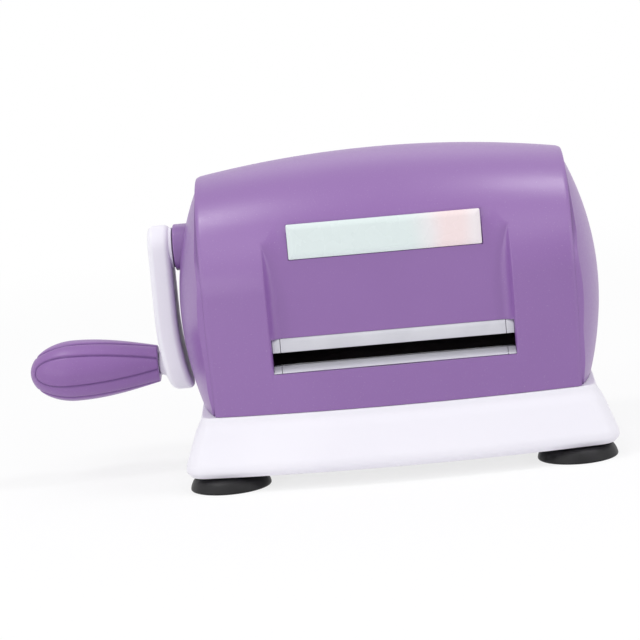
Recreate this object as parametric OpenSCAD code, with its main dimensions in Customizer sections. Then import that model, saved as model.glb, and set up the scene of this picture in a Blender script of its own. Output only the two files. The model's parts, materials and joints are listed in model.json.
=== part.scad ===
// Small hand-cranked roller die cutting machine, in millimetres.
// X runs along the rollers, the plates travel along Y, and Z = 0 is the table under the suction cups.

/* [Housing] */
// Depth of the two covers at the middle of their crown
housing_d = 92; // [84:1:110]
// Height of the crown above the table
housing_h = 115; // [112:1:138]
// Radius of the crown along the machine
crown_r = 402; // [320:1:600]
// Half length of the covers at the top of the crown
cover_half = 68.8; // [66:0.1:82]
// Radius of the bow at each end of the covers
end_bow_r = 308; // [250:1:500]
// Thickness of the moulded walls
wall = 2.4; // [1.8:0.1:3]
// Seam and fitting gap between moulded pieces
fit_gap = 0.3; // [0.2:0.05:0.5]

/* [Base] */
// Height of the deck that the covers stand on
deck_z = 26.5; // [24:0.5:32]
// Height of the lower edge of the base
base_z = 5.4; // [4.5:0.1:8]
// How far the foot of the base flares out past its deck
flare = 6.4; // [4:0.1:9]
// Half width of the deck at the middle of its depth
deck_half_w = 72.3; // [72:0.1:88]
// Thickness of the plate that closes the base
base_plate_t = 2.2; // [1.6:0.1:3]

/* [Suction cups] */
// Radius of the rim
cup_r = 14.6; // [11:0.1:17]
// Distance between cup centres along the rollers
cup_pitch_x = 126; // [110:1:130]
// Distance between cup centres across the rollers
cup_pitch_y = 70; // [60:1:74]

/* [Side caps] */
// How far the apex of each dome stands from the middle
dome_x = 77.8; // [77:0.1:96]
// Height of the apex of the domes
dome_z = 60.5; // [50:0.5:70]
// Radius of the dome seen from the front
dome_r = 106; // [95:1:140]
// Radius of the dome seen from above
dome_plan_r = 94; // [80:1:110]
// Radius of the hub round the crank shaft
hub_r = 8.6; // [7.6:0.1:10]
// How far the hub's face stands past the apex of the dome
hub_proud = 0.2; // [0.1:0.1:2]

/* [Plate slot] */
// Width of the window in each cover
window_w = 86.8; // [84:0.1:88]
// Height of the lower edge of the window
window_z = 40.8; // [39.5:0.1:41]
// Height of the window
window_h = 12.2; // [10:0.1:15]
// Clear width for the plate stack
passage_w = 80.8; // [78:0.1:82]
// Distance from the middle to the flat panel over the window
panel_y = 39.6; // [37:0.1:41]

/* [Rollers and gears] */
// Height of the middle of the nip
nip_z = 44.75; // [44:0.05:46]
// Radius of the rollers
roller_r = 12.6; // [11.5:0.1:13.6]
// Gap between the rollers
nip_gap = 6.05; // [5:0.05:6.5]
// Length of the rollers
roller_len = 90; // [84:1:91]
// Teeth on each roller gear
gear_teeth = 25; // [25:2:31]
// Teeth on the crank pinion
pinion_teeth = 13; // [12:1:15]
// Width of the gear faces
gear_w = 7; // [4:0.5:8]
// Radius of the shafts
shaft_r = 4; // [3:0.1:4.5]

/* [Frame] */
// Distance from the middle to the inner face of each frame plate
frame_x = 48; // [47:0.5:52]
// Thickness of the frame plates
frame_t = 4; // [3:0.5:5]
// Half width of the frame plates
frame_half = 27; // [24:0.5:29]

/* [Crank] */
// Distance from the crank axis to the grip axis
crank_throw = 43; // [34:0.5:52]
// Thickness of the crank arm
arm_t = 8.2; // [6:0.1:10]
// Radius of the arm's end at the shaft
arm_top_r = 8.7; // [8:0.1:11]
// Radius of the arm's end at the grip
arm_foot_r = 10.2; // [8.5:0.1:13]
// Length of the grip
grip_len = 48.3; // [40:0.1:60]
// Largest radius of the grip
grip_r = 11.35; // [9:0.05:14]
// Radius of the grip's end next to the arm
grip_neck_r = 6.8; // [5.5:0.1:8]

/* [Name plate] */
// Length of the bare plate over the window
plate_w = 69; // [50:1:72]
// Height of the bare plate
plate_h = 12.5; // [8:0.1:13]
// Height of the plate's middle above the table
plate_z = 87.2; // [84:0.1:90]

/* [Hidden] */
$fn = 96;

purple = [0.58, 0.43, 0.67];
pale = [0.92, 0.91, 0.95];
steel = [0.72, 0.73, 0.76];
dark = [0.16, 0.15, 0.18];
cream = [0.93, 0.9, 0.93];

far = 400;                                     // longer than any cut needs
link_steps = 24;                               // sides of each round end of a tapered link
run_gap = 0.04;                                // radial clearance of a shaft in its bush
end_gap = 0.4;                                 // clearance between turning faces
arch_r = housing_d / 2;
arch_z = housing_h - arch_r;                   // height at which the walls turn into the arch
function crown_drop(x) = crown_r - sqrt(crown_r * crown_r - x * x);
cover_end_r = arch_r - crown_drop(cover_half); // radius of the arch at the ends of the covers
cap_tongue_r = cover_end_r - wall - fit_gap;
cap_tongue_t = 2;
cap_tongue_x = cover_half - 9;                 // inner edge of the tongue under each cover's end
window_top = window_z + window_h;
ridge_x = window_w / 2 + 0.5;                  // ridges at the ends of the recess over the window
ridge_r = arch_r - crown_drop(ridge_x);
passage_h = 6.5;                               // clear height between the liner's lip and its ledge
passage_z0 = nip_z - passage_h / 2;
passage_z1 = nip_z + passage_h / 2;
pocket_depth = 1.1;                            // depth of the name plate's pocket in the panel
plate_proud = 0.9;                             // how far the name plate's face stands out of the panel
plate_bevel = 0.6;
plate_corner = 0.5;

axle_dist = 2 * roller_r + nip_gap;
gear_m = axle_dist / gear_teeth;               // the roller gears mesh at the rollers' spacing
upper_z = nip_z + axle_dist / 2;
lower_z = nip_z - axle_dist / 2;
crank_z = upper_z + gear_m * (gear_teeth + pinion_teeth) / 2;
tip_add = 0.8;                                 // addendum in modules, stubbed so the pinion isn't undercut
root_ded = 1.1;                                // dedendum in modules
backlash = 0.12;                               // thinning of each tooth at the pitch circle
gear_tip_r = gear_m * (gear_teeth / 2 + tip_add);

bush_r = shaft_r + 2.4;
bush_flange_r = bush_r + 2;
bush_flange_t = 1.4;
frame_out = frame_x + frame_t;
gear_x = frame_out + 1;                        // inner face of the gears, on the left of the frame
roller_shaft_left = gear_x + gear_w + 2.4;
roller_shaft_right = frame_out + 3;
clip_t = 0.8;
clip_groove_r = shaft_r - 0.8;

hub_x = dome_x + hub_proud;                    // face of the hub on the left cap
arm_x = hub_x + 1.2;                           // inner face of the arm's straight stretch
arm_in_r = dome_r + arm_x - dome_x;            // the arm bends round the same centre as the dome
grip_z = crank_z - crank_throw;
arm_foot_x = sqrt(pow(arm_in_r + arm_t, 2) - pow(dome_z - grip_z, 2)) - dome_r + dome_x;
collar_len = 2;
collar_r = 4.4;
grip_x = arm_foot_x + collar_len + fit_gap;
grip_tip = grip_x + grip_len;
spindle_r = 3;
spindle_len = grip_len - 12;
swell = 0.65;                                  // share of the grip's length at which it is thickest
crank_shaft_in = frame_x - bush_flange_t - 4;  // inner end of the crank shaft
crank_clip_x = -frame_x + bush_flange_t + 0.3;
crank_screw_seat = 2.2;
hub_bush_r = shaft_r + 1.8;
hub_in_x = dome_x - 9;

screw_r = 1.4;
screw_head_r = 2.8;
screw_head_h = 1.6;
cover_boss_x = cover_half - 18.8;
cover_boss_r = 3.4;
cover_boss_h = 12;
cover_boss_y = arch_r - crown_drop(cover_boss_x) - wall - cover_boss_r + 0.6;

// Levels of the flared outside, from its lower edge to the deck: share of the height, share of the flare,
// radius of the corners, radius of the bow of the ends.
base_levels = [[0, 0.72, 7, 2000], [0.09, 1, 8, 2000], [0.2, 0.97, 8, 2000], [0.76, 0.28, 7, 2000],
    [0.89, 0.06, 5.5, 900], [1, 0, 5, 480]];
deck_t = 2.5;
deck_hole_y = gear_tip_r + 1.8;
deck_hole_left = gear_x + gear_w + 3;
plate_boss_x = 40;
plate_boss_y = cup_pitch_y / 2;
base_plate_z = base_z + 0.4;
cup_stem_r = 3.9;

foot_t = 3;                                    // feet of the frame plates
foot_half = 3.6;
foot_screw_x = frame_out + 4.5;
foot_screw_y = frame_half - foot_half;
tie_y = frame_half - 6;
tie_z = crank_z - 14;
tie_r = 3.2;
roller_clip_left = -gear_x - gear_w - clip_t - 0.3;
roller_clip_right = frame_out + 0.5;
roller_gear_phase = 90 + 180 / gear_teeth;     // a gap upwards and, with an odd count, a tooth downwards

foot_w = deck_half_w + flare;
origin_x = (grip_tip - max(foot_w, dome_x)) / 2;

// ---- shared shapes ----

// Lays a flat outline, drawn across the rollers, into the YZ plane and extrudes it along X.
module along_x(x0, x1) {
    translate([min(x0, x1), 0, 0]) rotate([90, 0, 90]) linear_extrude(abs(x1 - x0)) children();
}

// Cylinder along X from x0 to x1 about the line y, z.
module rod_x(x0, x1, r, y = 0, z = 0) {
    along_x(x0, x1) translate([y, z]) circle(r = r);
}

// Two rounds one above the other, joined by their common tangents. The upper centre is the origin.
module tapered_link(r_top, r_foot, drop) {
    lean = asin((r_foot - r_top) / drop);
    top_turn = (180 - 2 * lean) / link_steps;
    foot_turn = (180 + 2 * lean) / link_steps;
    polygon(concat(
        [for (i = [0:link_steps]) r_top * [cos(lean + i * top_turn), sin(lean + i * top_turn)]],
        [for (i = [0:link_steps])
            [r_foot * cos(180 - lean + i * foot_turn), r_foot * sin(180 - lean + i * foot_turn) - drop]]
    ));
}

module rounded_rect(w, h, r) {
    square([w - 2 * r, h], center = true);
    square([w, h - 2 * r], center = true);
    for (x = [-1, 1], y = [-1, 1]) translate([x * (w / 2 - r), y * (h / 2 - r)]) circle(r = r);
}

module mirrored_x() {
    children();
    mirror([1, 0, 0]) children();
}

module four_corners(x, y) {
    for (sx = [-1, 1], sy = [-1, 1]) translate([sx * x, sy * y, 0]) children();
}

// Pan-head screw with its head's seat at z = 0 and its shank pointing up.
module screw_up(shank_r, shank_len, head_r, head_h) {
    cylinder(r = shank_r, h = shank_len);
    difference() {
        translate([0, 0, -head_h]) cylinder(r = head_r, h = head_h);
        for (a = [0, 90]) rotate(a)
            translate([-head_r * 0.6, -0.4, -head_h - 1]) cube([head_r * 1.2, 0.8, 1.8]);
    }
}

// ---- housing ----

// Crowned arch: a half barrel standing on vertical walls that share its plan.
module crowned_arch(inset, half_len) {
    r = arch_r - inset;
    ring = crown_r - inset;
    translate([0, 0, arch_z]) rotate([90, 0, 90]) rotate_extrude(angle = 180) intersection() {
        translate([arch_r - crown_r, 0]) circle(r = ring, $fn = 360);
        translate([0, -half_len]) square([r + 1, 2 * half_len]);
    }
    translate([0, 0, deck_z]) linear_extrude(arch_z - deck_z) intersection() {
        intersection_for(s = [-1, 1]) translate([0, s * (crown_r - arch_r)]) circle(r = ring, $fn = 360);
        square([2 * half_len, 3 * arch_r], center = true);
    }
}

// Everything between the two bowed ends of the covers.
module between_ends(gap = 0) {
    translate([0, 0, deck_z - 1]) linear_extrude(housing_h) intersection_for(s = [-1, 1])
        translate([s * (end_bow_r - cover_half), 0]) circle(r = end_bow_r + gap, $fn = 360);
}

// Slope at one end of the recess, falling inwards from the ridge at 45 degrees and running on round the arch.
// t sets the slope back, for the inside of the wall.
module recess_cheek(t) {
    past = 5;
    top_r = ridge_r - t * sqrt(2) + past;
    in_r = panel_y - t - 1;
    slope = [[in_r, ridge_x + past - top_r + in_r], [top_r, ridge_x + past], [in_r, ridge_x + past]];
    translate([0, 0, arch_z]) rotate([90, 0, 90]) rotate_extrude(angle = 180) polygon(slope);
    translate([0, 0, window_top - 1]) linear_extrude(arch_z - window_top + 1)
        polygon([for (p = slope) [p[1], -p[0]]]);
}

// Space of the flat-bottomed recess over the window, grown by t for the wall behind it.
module panel_space(t = 0) {
    reach = ridge_x + 4;
    difference() {
        translate([-reach, -arch_r - 2, window_top])
            cube([2 * reach, arch_r + 2 - panel_y + t, housing_h - window_top]);
        mirrored_x() recess_cheek(t);
    }
}

module cover_bosses(r, z0) {
    mirrored_x() translate([cover_boss_x, -cover_boss_y, z0]) cylinder(r = r, h = deck_z + cover_boss_h - z0);
}

module front_half_cover() {
    difference() {
        union() {
            difference() {
                intersection() {
                    crowned_arch(0, cover_half + 1);
                    between_ends();
                    translate([-far / 2, -far, 0]) cube(far);
                }
                crowned_arch(wall, cover_half + 2);
            }
            intersection() {
                crowned_arch(wall / 2, cover_half);
                panel_space(wall);
                translate([-far / 2, -far, 0]) cube([far, far - 20, far]);
            }
            cover_bosses(cover_boss_r, deck_z);
        }
        panel_space();
        translate([-window_w / 2, -far, window_z]) cube([window_w, far - 20, window_h]);
        translate([0, 0, -1]) cover_bosses(screw_r, deck_z);
    }
}

module plate_pocket(grow, y0, y1) {
    translate([0, y1, plate_z]) rotate([90, 0, 0]) linear_extrude(y1 - y0)
        rounded_rect(plate_w + 2 * grow, plate_h + 2 * grow, max(plate_corner + grow, 0.2));
}

module front_cover() {
    color(purple) difference() {
        front_half_cover();
        plate_pocket(0.25, -arch_r, -panel_y + pocket_depth);
    }
}

module rear_cover() {
    color(purple) mirror([0, 1, 0]) front_half_cover();
}

module nameplate() {
    face = -panel_y - plate_proud;
    color(cream) {
        plate_pocket(0, face + plate_bevel, -panel_y + pocket_depth);
        plate_pocket(-plate_bevel, face, face + plate_bevel);
    }
}

// Lens-shaped dome: an arc turned about an axis that lies across the machine.
module dome(inset = 0) {
    translate([dome_x - dome_r, 0, dome_z]) rotate([90, 0, 0]) rotate_extrude() intersection() {
        translate([dome_r - dome_plan_r, 0]) circle(r = dome_plan_r - inset, $fn = 360);
        translate([0, -arch_r - 5]) square([far, 2 * arch_r + 10]);
    }
}

module arch_slice(r, x0, x1) {
    along_x(x0, x1) {
        translate([0, arch_z]) circle(r = r);
        translate([-r, deck_z]) square([2 * r, arch_z - deck_z]);
    }
}

module cap_shell() {
    difference() {
        union() {
            intersection() {
                difference() {
                    arch_slice(cover_end_r, cap_tongue_x + 2, dome_x + 2);
                    between_ends(0.1);
                }
                dome();
            }
            intersection() {
                arch_slice(cap_tongue_r, cap_tongue_x, cover_half + 1);
                between_ends();
            }
        }
        intersection() {
            arch_slice(cap_tongue_r - cap_tongue_t, cap_tongue_x - 1, dome_x);
            dome(wall);
            translate([cap_tongue_x - 1, -far / 2, deck_z - 1]) cube(far);
        }
    }
}

module right_side_cap() {
    color(purple) cap_shell();
}

module left_side_cap() {
    color(purple) difference() {
        union() {
            mirror([1, 0, 0]) cap_shell();
            rod_x(-hub_x, -hub_in_x, hub_r, 0, crank_z);
        }
        rod_x(-hub_x - 1, -hub_in_x + 1, hub_bush_r, 0, crank_z);
    }
}

// ---- base ----

// Plan of the base, parallel to the covers' plan and grown past the deck by the given amount.
module base_plan(grow, corner, side_r) {
    offset(r = corner) offset(delta = -corner) intersection() {
        intersection_for(s = [-1, 1])
            translate([0, s * (crown_r - arch_r)]) circle(r = crown_r + 0.1 + grow, $fn = 180);
        intersection_for(s = [-1, 1])
            translate([s * (side_r - deck_half_w), 0])
                circle(r = side_r + grow, $fn = side_r > 1000 ? 720 : 180);
    }
}

function level_z(i) = base_z + base_levels[i][0] * (deck_z - base_z);

// Stretch of the base between two of its levels, set in by inset and cut short at its top.
module base_band(i, j, inset = 0, top = 0) {
    slice = 0.01;
    hull() for (k = [i, j]) {
        level = base_levels[k];
        translate([0, 0, level_z(k) - (k == j ? slice + top : slice)]) linear_extrude(slice)
            base_plan(level[1] * flare - inset, level[2], level[3], $fn = 24);
    }
}

// Four upright pegs or holes of radius r and height h that start at z0.
module pegs(x, y, z0, r, h) {
    four_corners(x, y) translate([0, 0, z0]) cylinder(r = r, h = h);
}

// Outline of the opening under the base, grown or shrunk by the given gap.
module mouth(gap) {
    base_plan(base_levels[0][1] * flare - wall + gap, base_levels[0][2] - 1, base_levels[0][3], $fn = 32);
}

module base() {
    boss_z = base_plate_z + base_plate_t;
    hole_w = deck_hole_left + roller_shaft_right + 1.5;
    color(pale) difference() {
        union() {
            difference() {
                for (i = [0:4]) base_band(i, i + 1);
                base_band(0, 3, wall);
                base_band(3, 5, wall, deck_t);
                translate([0, 0, base_z - 1]) linear_extrude(boss_z + 0.2 - base_z + 1) mouth(0.2);
            }
            pegs(plate_boss_x, plate_boss_y, boss_z, 4, deck_z - deck_t / 2 - boss_z);
        }
        translate([-deck_hole_left, -deck_hole_y, deck_z - 5]) cube([hole_w, 2 * deck_hole_y, 10]);
        pegs(plate_boss_x, plate_boss_y, base_z - 1, screw_r, 14);
        pegs(cover_boss_x, cover_boss_y, deck_z - 5, screw_r + 0.2, 10);
        pegs(foot_screw_x, foot_screw_y, deck_z - 5, screw_r, 10);
    }
}

module base_plate() {
    color(pale) difference() {
        translate([0, 0, base_plate_z]) linear_extrude(base_plate_t) mouth(-fit_gap);
        pegs(cup_pitch_x / 2, cup_pitch_y / 2, base_z - 1, cup_stem_r + 0.1, 10);
        pegs(plate_boss_x, plate_boss_y, base_z - 1, screw_r + 0.2, 10);
    }
}

module base_plate_screws() {
    color(steel) four_corners(plate_boss_x, plate_boss_y)
        translate([0, 0, base_plate_z]) screw_up(screw_r, 9, screw_head_r, screw_head_h);
}

module cover_screws() {
    color(steel) four_corners(cover_boss_x, cover_boss_y)
        translate([0, 0, deck_z - deck_t]) screw_up(screw_r, 11, screw_head_r, screw_head_h);
}

// Suction cup: a shallow bell on a stem that buttons into the base plate.
module suction_cup(sx, sy) {
    neck_z = base_z - 0.35;
    head_z = base_plate_z + base_plate_t + 0.1;
    color(dark) translate([sx * cup_pitch_x / 2, sy * cup_pitch_y / 2, 0]) rotate_extrude() polygon([
        [cup_r - 1.2, 0], [cup_r, 0], [cup_r, 0.9], [cup_r - 0.4, 2], [cup_r - 1, 3.2],
        [cup_r - 2, neck_z - 0.7], [cup_r - 3.6, neck_z - 0.1], [cup_r - 5, neck_z],
        [cup_stem_r, neck_z], [cup_stem_r, head_z], [cup_stem_r + 1.8, head_z],
        [cup_stem_r + 1.2, head_z + 2.2], [cup_stem_r - 1, head_z + 3], [0, head_z + 3],
        [0, 3.1], [cup_r - 7, 3.1], [cup_r - 3.4, 2.6], [cup_r - 2.2, 1.5]
    ]);
}

// ---- plate slot ----

// Silver liner of one slot: an upper lip, a ledge that leads to the nip, and a cheek at each end.
module slot_trim(side) {
    half = window_w / 2 - 0.1;
    lip_y = panel_y + 0.9;
    in_y = 28;
    sill_y = arch_r - crown_drop(half) - wall - fit_gap;
    color(steel) mirror([0, side > 0 ? 1 : 0, 0]) {
        along_x(-half, half) {
            difference() {
                polygon([
                    [-lip_y, passage_z1], [-lip_y, window_top - 1.6], [-lip_y + 1, window_top - 0.1],
                    [-panel_y + wall + 1, window_top - 0.1], [-in_y, passage_z1 + 1.8], [-in_y, passage_z1]
                ]);
                translate([-lip_y + 2, passage_z1 + 1.6]) square([1.6, 2.2]);
            }
            polygon([
                [-arch_r + 0.8, passage_z0 - 0.25], [-arch_r + 0.8, window_z + 0.1],
                [-sill_y, window_z + 0.1], [-sill_y, window_z - 1.2], [-in_y, window_z - 1.2],
                [-in_y, passage_z0 - 0.6], [-in_y - 1, passage_z0]
            ]);
        }
        mirrored_x() translate([passage_w / 2, -lip_y + 0.4, window_z + 0.1])
            cube([half - passage_w / 2, lip_y - in_y - 0.4, window_h - 3]);
    }
}

// ---- frame ----

module frame_outline() {
    neck_z = upper_z - 2;
    translate([0, crank_z]) tapered_link(bush_flange_r + 3, frame_half, crank_z - neck_z);
    translate([-frame_half, deck_z]) square([2 * frame_half, neck_z - deck_z]);
    translate([-bush_flange_r - 2, lower_z - bush_flange_r - 2])
        square([2 * bush_flange_r + 4, bush_flange_r + 12]);
}

// Frame plate with feet on the deck. has_crank adds the crank bush's hole.
module frame_plate(has_crank) {
    difference() {
        union() {
            along_x(frame_x, frame_out) frame_outline();
            for (s = [-1, 1]) translate([frame_out - 0.1, s * foot_screw_y - foot_half, deck_z])
                cube([9, 2 * foot_half, foot_t]);
        }
        for (z = has_crank ? [lower_z, upper_z, crank_z] : [lower_z, upper_z])
            rod_x(frame_x - 1, frame_out + 1, bush_r, 0, z);
        for (s = [-1, 1]) {
            translate([foot_screw_x, s * foot_screw_y, deck_z - 1]) cylinder(r = screw_r + 0.2, h = 9);
            rod_x(frame_x - 1, frame_out + 1, screw_r + 0.2, s * tie_y, tie_z);
        }
    }
}

module left_frame_plate() {
    color(steel) mirror([1, 0, 0]) frame_plate(true);
}

module right_frame_plate() {
    color(steel) frame_plate(false);
}

module tie_bar(side) {
    color(steel) difference() {
        rod_x(-frame_x, frame_x, tie_r, side * tie_y, tie_z);
        mirrored_x() rod_x(frame_x - 8, frame_x + 1, screw_r, side * tie_y, tie_z);
    }
}

module tie_bar_screws() {
    color(steel) mirrored_x() for (s = [-1, 1])
        translate([frame_out, s * tie_y, tie_z]) rotate([0, -90, 0])
            screw_up(screw_r, frame_t + 7, screw_head_r, 0.9);
}

module frame_screws() {
    color(steel) four_corners(foot_screw_x, foot_screw_y)
        translate([0, 0, deck_z + foot_t]) rotate([180, 0, 0])
            screw_up(screw_r, 8, screw_head_r, screw_head_h);
}

// Flanged bush in a frame plate, for the plate on the given side.
module bush(side, z) {
    color("goldenrod") mirror([side < 0 ? 1 : 0, 0, 0]) difference() {
        union() {
            rod_x(frame_x, frame_out, bush_r, 0, z);
            rod_x(frame_x - bush_flange_t, frame_x, bush_flange_r, 0, z);
        }
        rod_x(frame_x - 5, frame_out + 5, shaft_r + run_gap, 0, z);
    }
}

module crank_hub_bush() {
    color("goldenrod") difference() {
        rod_x(-hub_x, -hub_in_x, hub_bush_r, 0, crank_z);
        rod_x(-hub_x - 1, -hub_in_x + 1, shaft_r + run_gap, 0, crank_z);
    }
}

// ---- gears and rollers ----

function involute(base_r, a) = base_r * [cos(a) + a * PI / 180 * sin(a), sin(a) - a * PI / 180 * cos(a)];
function turn(p, a) = [p[0] * cos(a) - p[1] * sin(a), p[0] * sin(a) + p[1] * cos(a)];
function roll_angle(base_r, r) = sqrt(max(0, pow(r / base_r, 2) - 1)) * 180 / PI;

// Outline of a spur gear with one tooth centred on the given angle.
module gear_outline(teeth, phase) {
    pitch_r = gear_m * teeth / 2;
    base_r = pitch_r * cos(20);
    tip_r = pitch_r + gear_m * tip_add;
    root_r = pitch_r - gear_m * root_ded;
    steps = 5;
    a0 = roll_angle(base_r, max(base_r, root_r));
    a1 = roll_angle(base_r, tip_r);
    pitch_turn = (tan(20) - 20 * PI / 180) * 180 / PI;
    half_tooth = 90 / teeth - backlash / 2 / pitch_r * 180 / PI;
    flank = [for (i = [0:steps])
        turn(involute(base_r, a0 + (a1 - a0) * i / steps), -half_tooth - pitch_turn)];
    foot_turn = atan2(flank[0][1], flank[0][0]);
    foot = [root_r * cos(foot_turn), root_r * sin(foot_turn)];
    mirrored_flank = [for (i = [steps:-1:0]) [flank[i][0], -flank[i][1]]];
    tooth = concat([foot], flank, mirrored_flank, [[foot[0], -foot[1]]]);
    polygon([for (t = [0:teeth - 1], p = tooth) turn(p, phase + t * 360 / teeth)]);
}

// Spur gear on a shaft along X, with a hub and a turned-down web.
module spur_gear(teeth, phase, z, web) {
    difference() {
        translate([0, 0, z]) along_x(-gear_x - gear_w, -gear_x) gear_outline(teeth, phase);
        rod_x(-gear_x - gear_w - 1, -gear_x + 1, shaft_r, 0, z);
        if (web) {
            root_r = gear_m * (teeth / 2 - root_ded);
            translate([0, 0, z]) along_x(-gear_x - gear_w - 1, -gear_x - gear_w + 2) difference() {
                circle(r = root_r - 2);
                circle(r = shaft_r + 3);
            }
            for (a = [0:60:359]) translate([0, 0, z]) along_x(-gear_x - gear_w - 1, -gear_x + 1)
                rotate(a) translate([(root_r + shaft_r + 1) / 2, 0]) circle(r = 1.6);
        }
    }
}

module drive_pinion() {
    color(pale) spur_gear(pinion_teeth, -90, crank_z, false);
}

module roller_gear(z) {
    color(pale) spur_gear(gear_teeth, roller_gear_phase, z, true);
}

module grooved_shaft(x0, x1, grooves, z) {
    color(steel) difference() {
        rod_x(x0, x1, shaft_r, 0, z);
        for (x = grooves) difference() {
            rod_x(x, x + clip_t + 0.2, shaft_r + 1, 0, z);
            rod_x(x - 1, x + clip_t + 2, clip_groove_r, 0, z);
        }
    }
}

// Spring clip that sits in a shaft's groove, open on one side.
module shaft_clip(x, z) {
    color(dark) translate([0, 0, z]) along_x(x + 0.1, x + 0.1 + clip_t) difference() {
        circle(r = shaft_r + 1.6);
        circle(r = clip_groove_r);
        translate([-clip_groove_r * 0.7, 0]) square([clip_groove_r * 1.4, shaft_r + 4]);
    }
}

module roller_shaft(z) {
    grooved_shaft(-roller_shaft_left, roller_shaft_right, [roller_clip_left, roller_clip_right], z);
}

module roller_clips(z) {
    for (x = [roller_clip_left, roller_clip_right]) shaft_clip(x, z);
}

module roller(z) {
    recess = 5;
    color(dark) difference() {
        rod_x(-roller_len / 2, roller_len / 2, roller_r, 0, z);
        rod_x(-far / 2, far / 2, shaft_r, 0, z);
        mirrored_x() translate([0, 0, z]) along_x(roller_len / 2 - recess, roller_len / 2 + 1) difference() {
            circle(r = roller_r - 2.4);
            circle(r = shaft_r + 2.4);
        }
    }
}

// ---- crank ----

module crank_shaft() {
    color(steel) difference() {
        grooved_shaft(-arm_x - arm_t + crank_screw_seat, -crank_shaft_in, [crank_clip_x], crank_z);
        rod_x(-arm_x - arm_t, -arm_x + 4, screw_r, 0, crank_z);
    }
}

module crank_clip() {
    shaft_clip(crank_clip_x, crank_z);
}

// Arm in side view: straight beside the hub, then bent round the dome.
module arm_profile() {
    translate([-arm_x - arm_t, dome_z]) square([arm_t, crank_z + arm_top_r + 1 - dome_z]);
    intersection() {
        translate([dome_r - dome_x, dome_z]) difference() {
            circle(r = arm_in_r + arm_t, $fn = 360);
            circle(r = arm_in_r, $fn = 360);
        }
        translate([-arm_x - arm_t - 1, grip_z - arm_foot_r - 1])
            square([40, dome_z - grip_z + arm_foot_r + 1]);
    }
}

module crank_arm() {
    color(pale) difference() {
        union() {
            intersection() {
                translate([0, far / 2, 0]) rotate([90, 0, 0]) linear_extrude(far) arm_profile();
                along_x(-arm_x - arm_t - 1, -arm_x + 30) translate([0, crank_z])
                    tapered_link(arm_top_r, arm_foot_r, crank_throw);
            }
            rod_x(-arm_x - 1, -hub_x - end_gap, hub_r - 1, 0, crank_z);
            rod_x(-arm_foot_x - collar_len, -arm_foot_x + 2, collar_r, 0, grip_z);
        }
        rod_x(-arm_x - arm_t - 1, -arm_x + 5, shaft_r, 0, crank_z);
        rod_x(-arm_x - arm_t - 1, -arm_x - arm_t + crank_screw_seat, 5.2, 0, crank_z);
        rod_x(-arm_foot_x - collar_len - 1, -arm_foot_x + arm_t + 5, spindle_r, 0, grip_z);
    }
}

module crank_screw() {
    color(steel) translate([-arm_x - arm_t + crank_screw_seat, 0, crank_z])
        rotate([0, 90, 0]) screw_up(screw_r, 7, 4.8, 1.8);
}

module grip_spindle() {
    color(steel) {
        rod_x(-grip_x - spindle_len, -arm_foot_x + arm_t - 1.5, spindle_r, 0, grip_z);
        rod_x(-grip_x - spindle_len - 0.01, -grip_x - spindle_len + 1.6, spindle_r + 1.4, 0, grip_z);
    }
}

// Radius of the grip at a share of its length: a long swell, then a blunt elliptical end.
function grip_radius(s) = s < swell
    ? grip_neck_r + (grip_r - grip_neck_r) * sin(90 * s / swell)
    : grip_r * sqrt(1 - pow((s - swell) / (1 - swell), 2));

module grip() {
    steps = 20;
    tip = [for (i = [0:steps]) swell + (1 - swell) * sin(90 * i / steps)];
    body = [for (i = [0:7]) swell * i / 8];
    color(purple) translate([-grip_x, 0, grip_z]) rotate([0, -90, 0]) difference() {
        rotate_extrude()
            polygon(concat([[0, 0]], [for (s = concat(body, tip)) [grip_radius(s), s * grip_len]]));
        translate([0, 0, -1]) cylinder(r = spindle_r + run_gap, h = spindle_len + 1.5);
        translate([0, 0, spindle_len - 2]) cylinder(r = spindle_r + 1.8, h = 3);
    }
}

// ---- assembly ----

// Moves the machine so that X = 0 is the middle of its whole width, crank and grip included.
module placed() {
    translate([origin_x, 0, 0]) children();
}

placed() base();
placed() base_plate();
placed() suction_cup(-1, -1);  // front_left_cup
placed() suction_cup(1, -1);  // front_right_cup
placed() suction_cup(-1, 1);  // rear_left_cup
placed() suction_cup(1, 1);  // rear_right_cup
placed() front_cover();
placed() rear_cover();
placed() left_side_cap();
placed() right_side_cap();
placed() nameplate();
placed() slot_trim(-1);  // front_slot_trim
placed() slot_trim(1);  // rear_slot_trim
placed() left_frame_plate();
placed() right_frame_plate();
placed() tie_bar(-1);  // front_tie_bar
placed() tie_bar(1);  // rear_tie_bar
placed() bush(-1, upper_z);  // upper_left_bush
placed() bush(1, upper_z);  // upper_right_bush
placed() bush(-1, lower_z);  // lower_left_bush
placed() bush(1, lower_z);  // lower_right_bush
placed() bush(-1, crank_z);  // crank_frame_bush
placed() crank_hub_bush();
placed() frame_screws();
placed() cover_screws();
placed() base_plate_screws();
placed() tie_bar_screws();
placed() crank_shaft();
placed() drive_pinion();
placed() crank_clip();
placed() crank_arm();
placed() crank_screw();
placed() grip_spindle();
placed() grip();
placed() roller_shaft(upper_z);  // upper_shaft
placed() roller(upper_z);  // upper_roller
placed() roller_gear(upper_z);  // upper_gear
placed() roller_clips(upper_z);  // upper_clips
placed() roller_shaft(lower_z);  // lower_shaft
placed() roller(lower_z);  // lower_roller
placed() roller_gear(lower_z);  // lower_gear
placed() roller_clips(lower_z);  // lower_clips
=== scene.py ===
"""Looks of a small hand-cranked roller die cutting machine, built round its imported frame.

Sizes in the classes are millimetres about the middle of the housing: X runs along the rollers, Y from the front to the
back and Z up from the table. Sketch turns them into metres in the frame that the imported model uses.
"""

import json
import logging
import math
from contextlib import contextmanager
from dataclasses import dataclass, field
from enum import Enum
from typing import Any, Iterator, Mapping, Optional, Sequence, Union

import bmesh
import bpy
import numpy as np
from mathutils import Matrix, Vector


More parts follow.
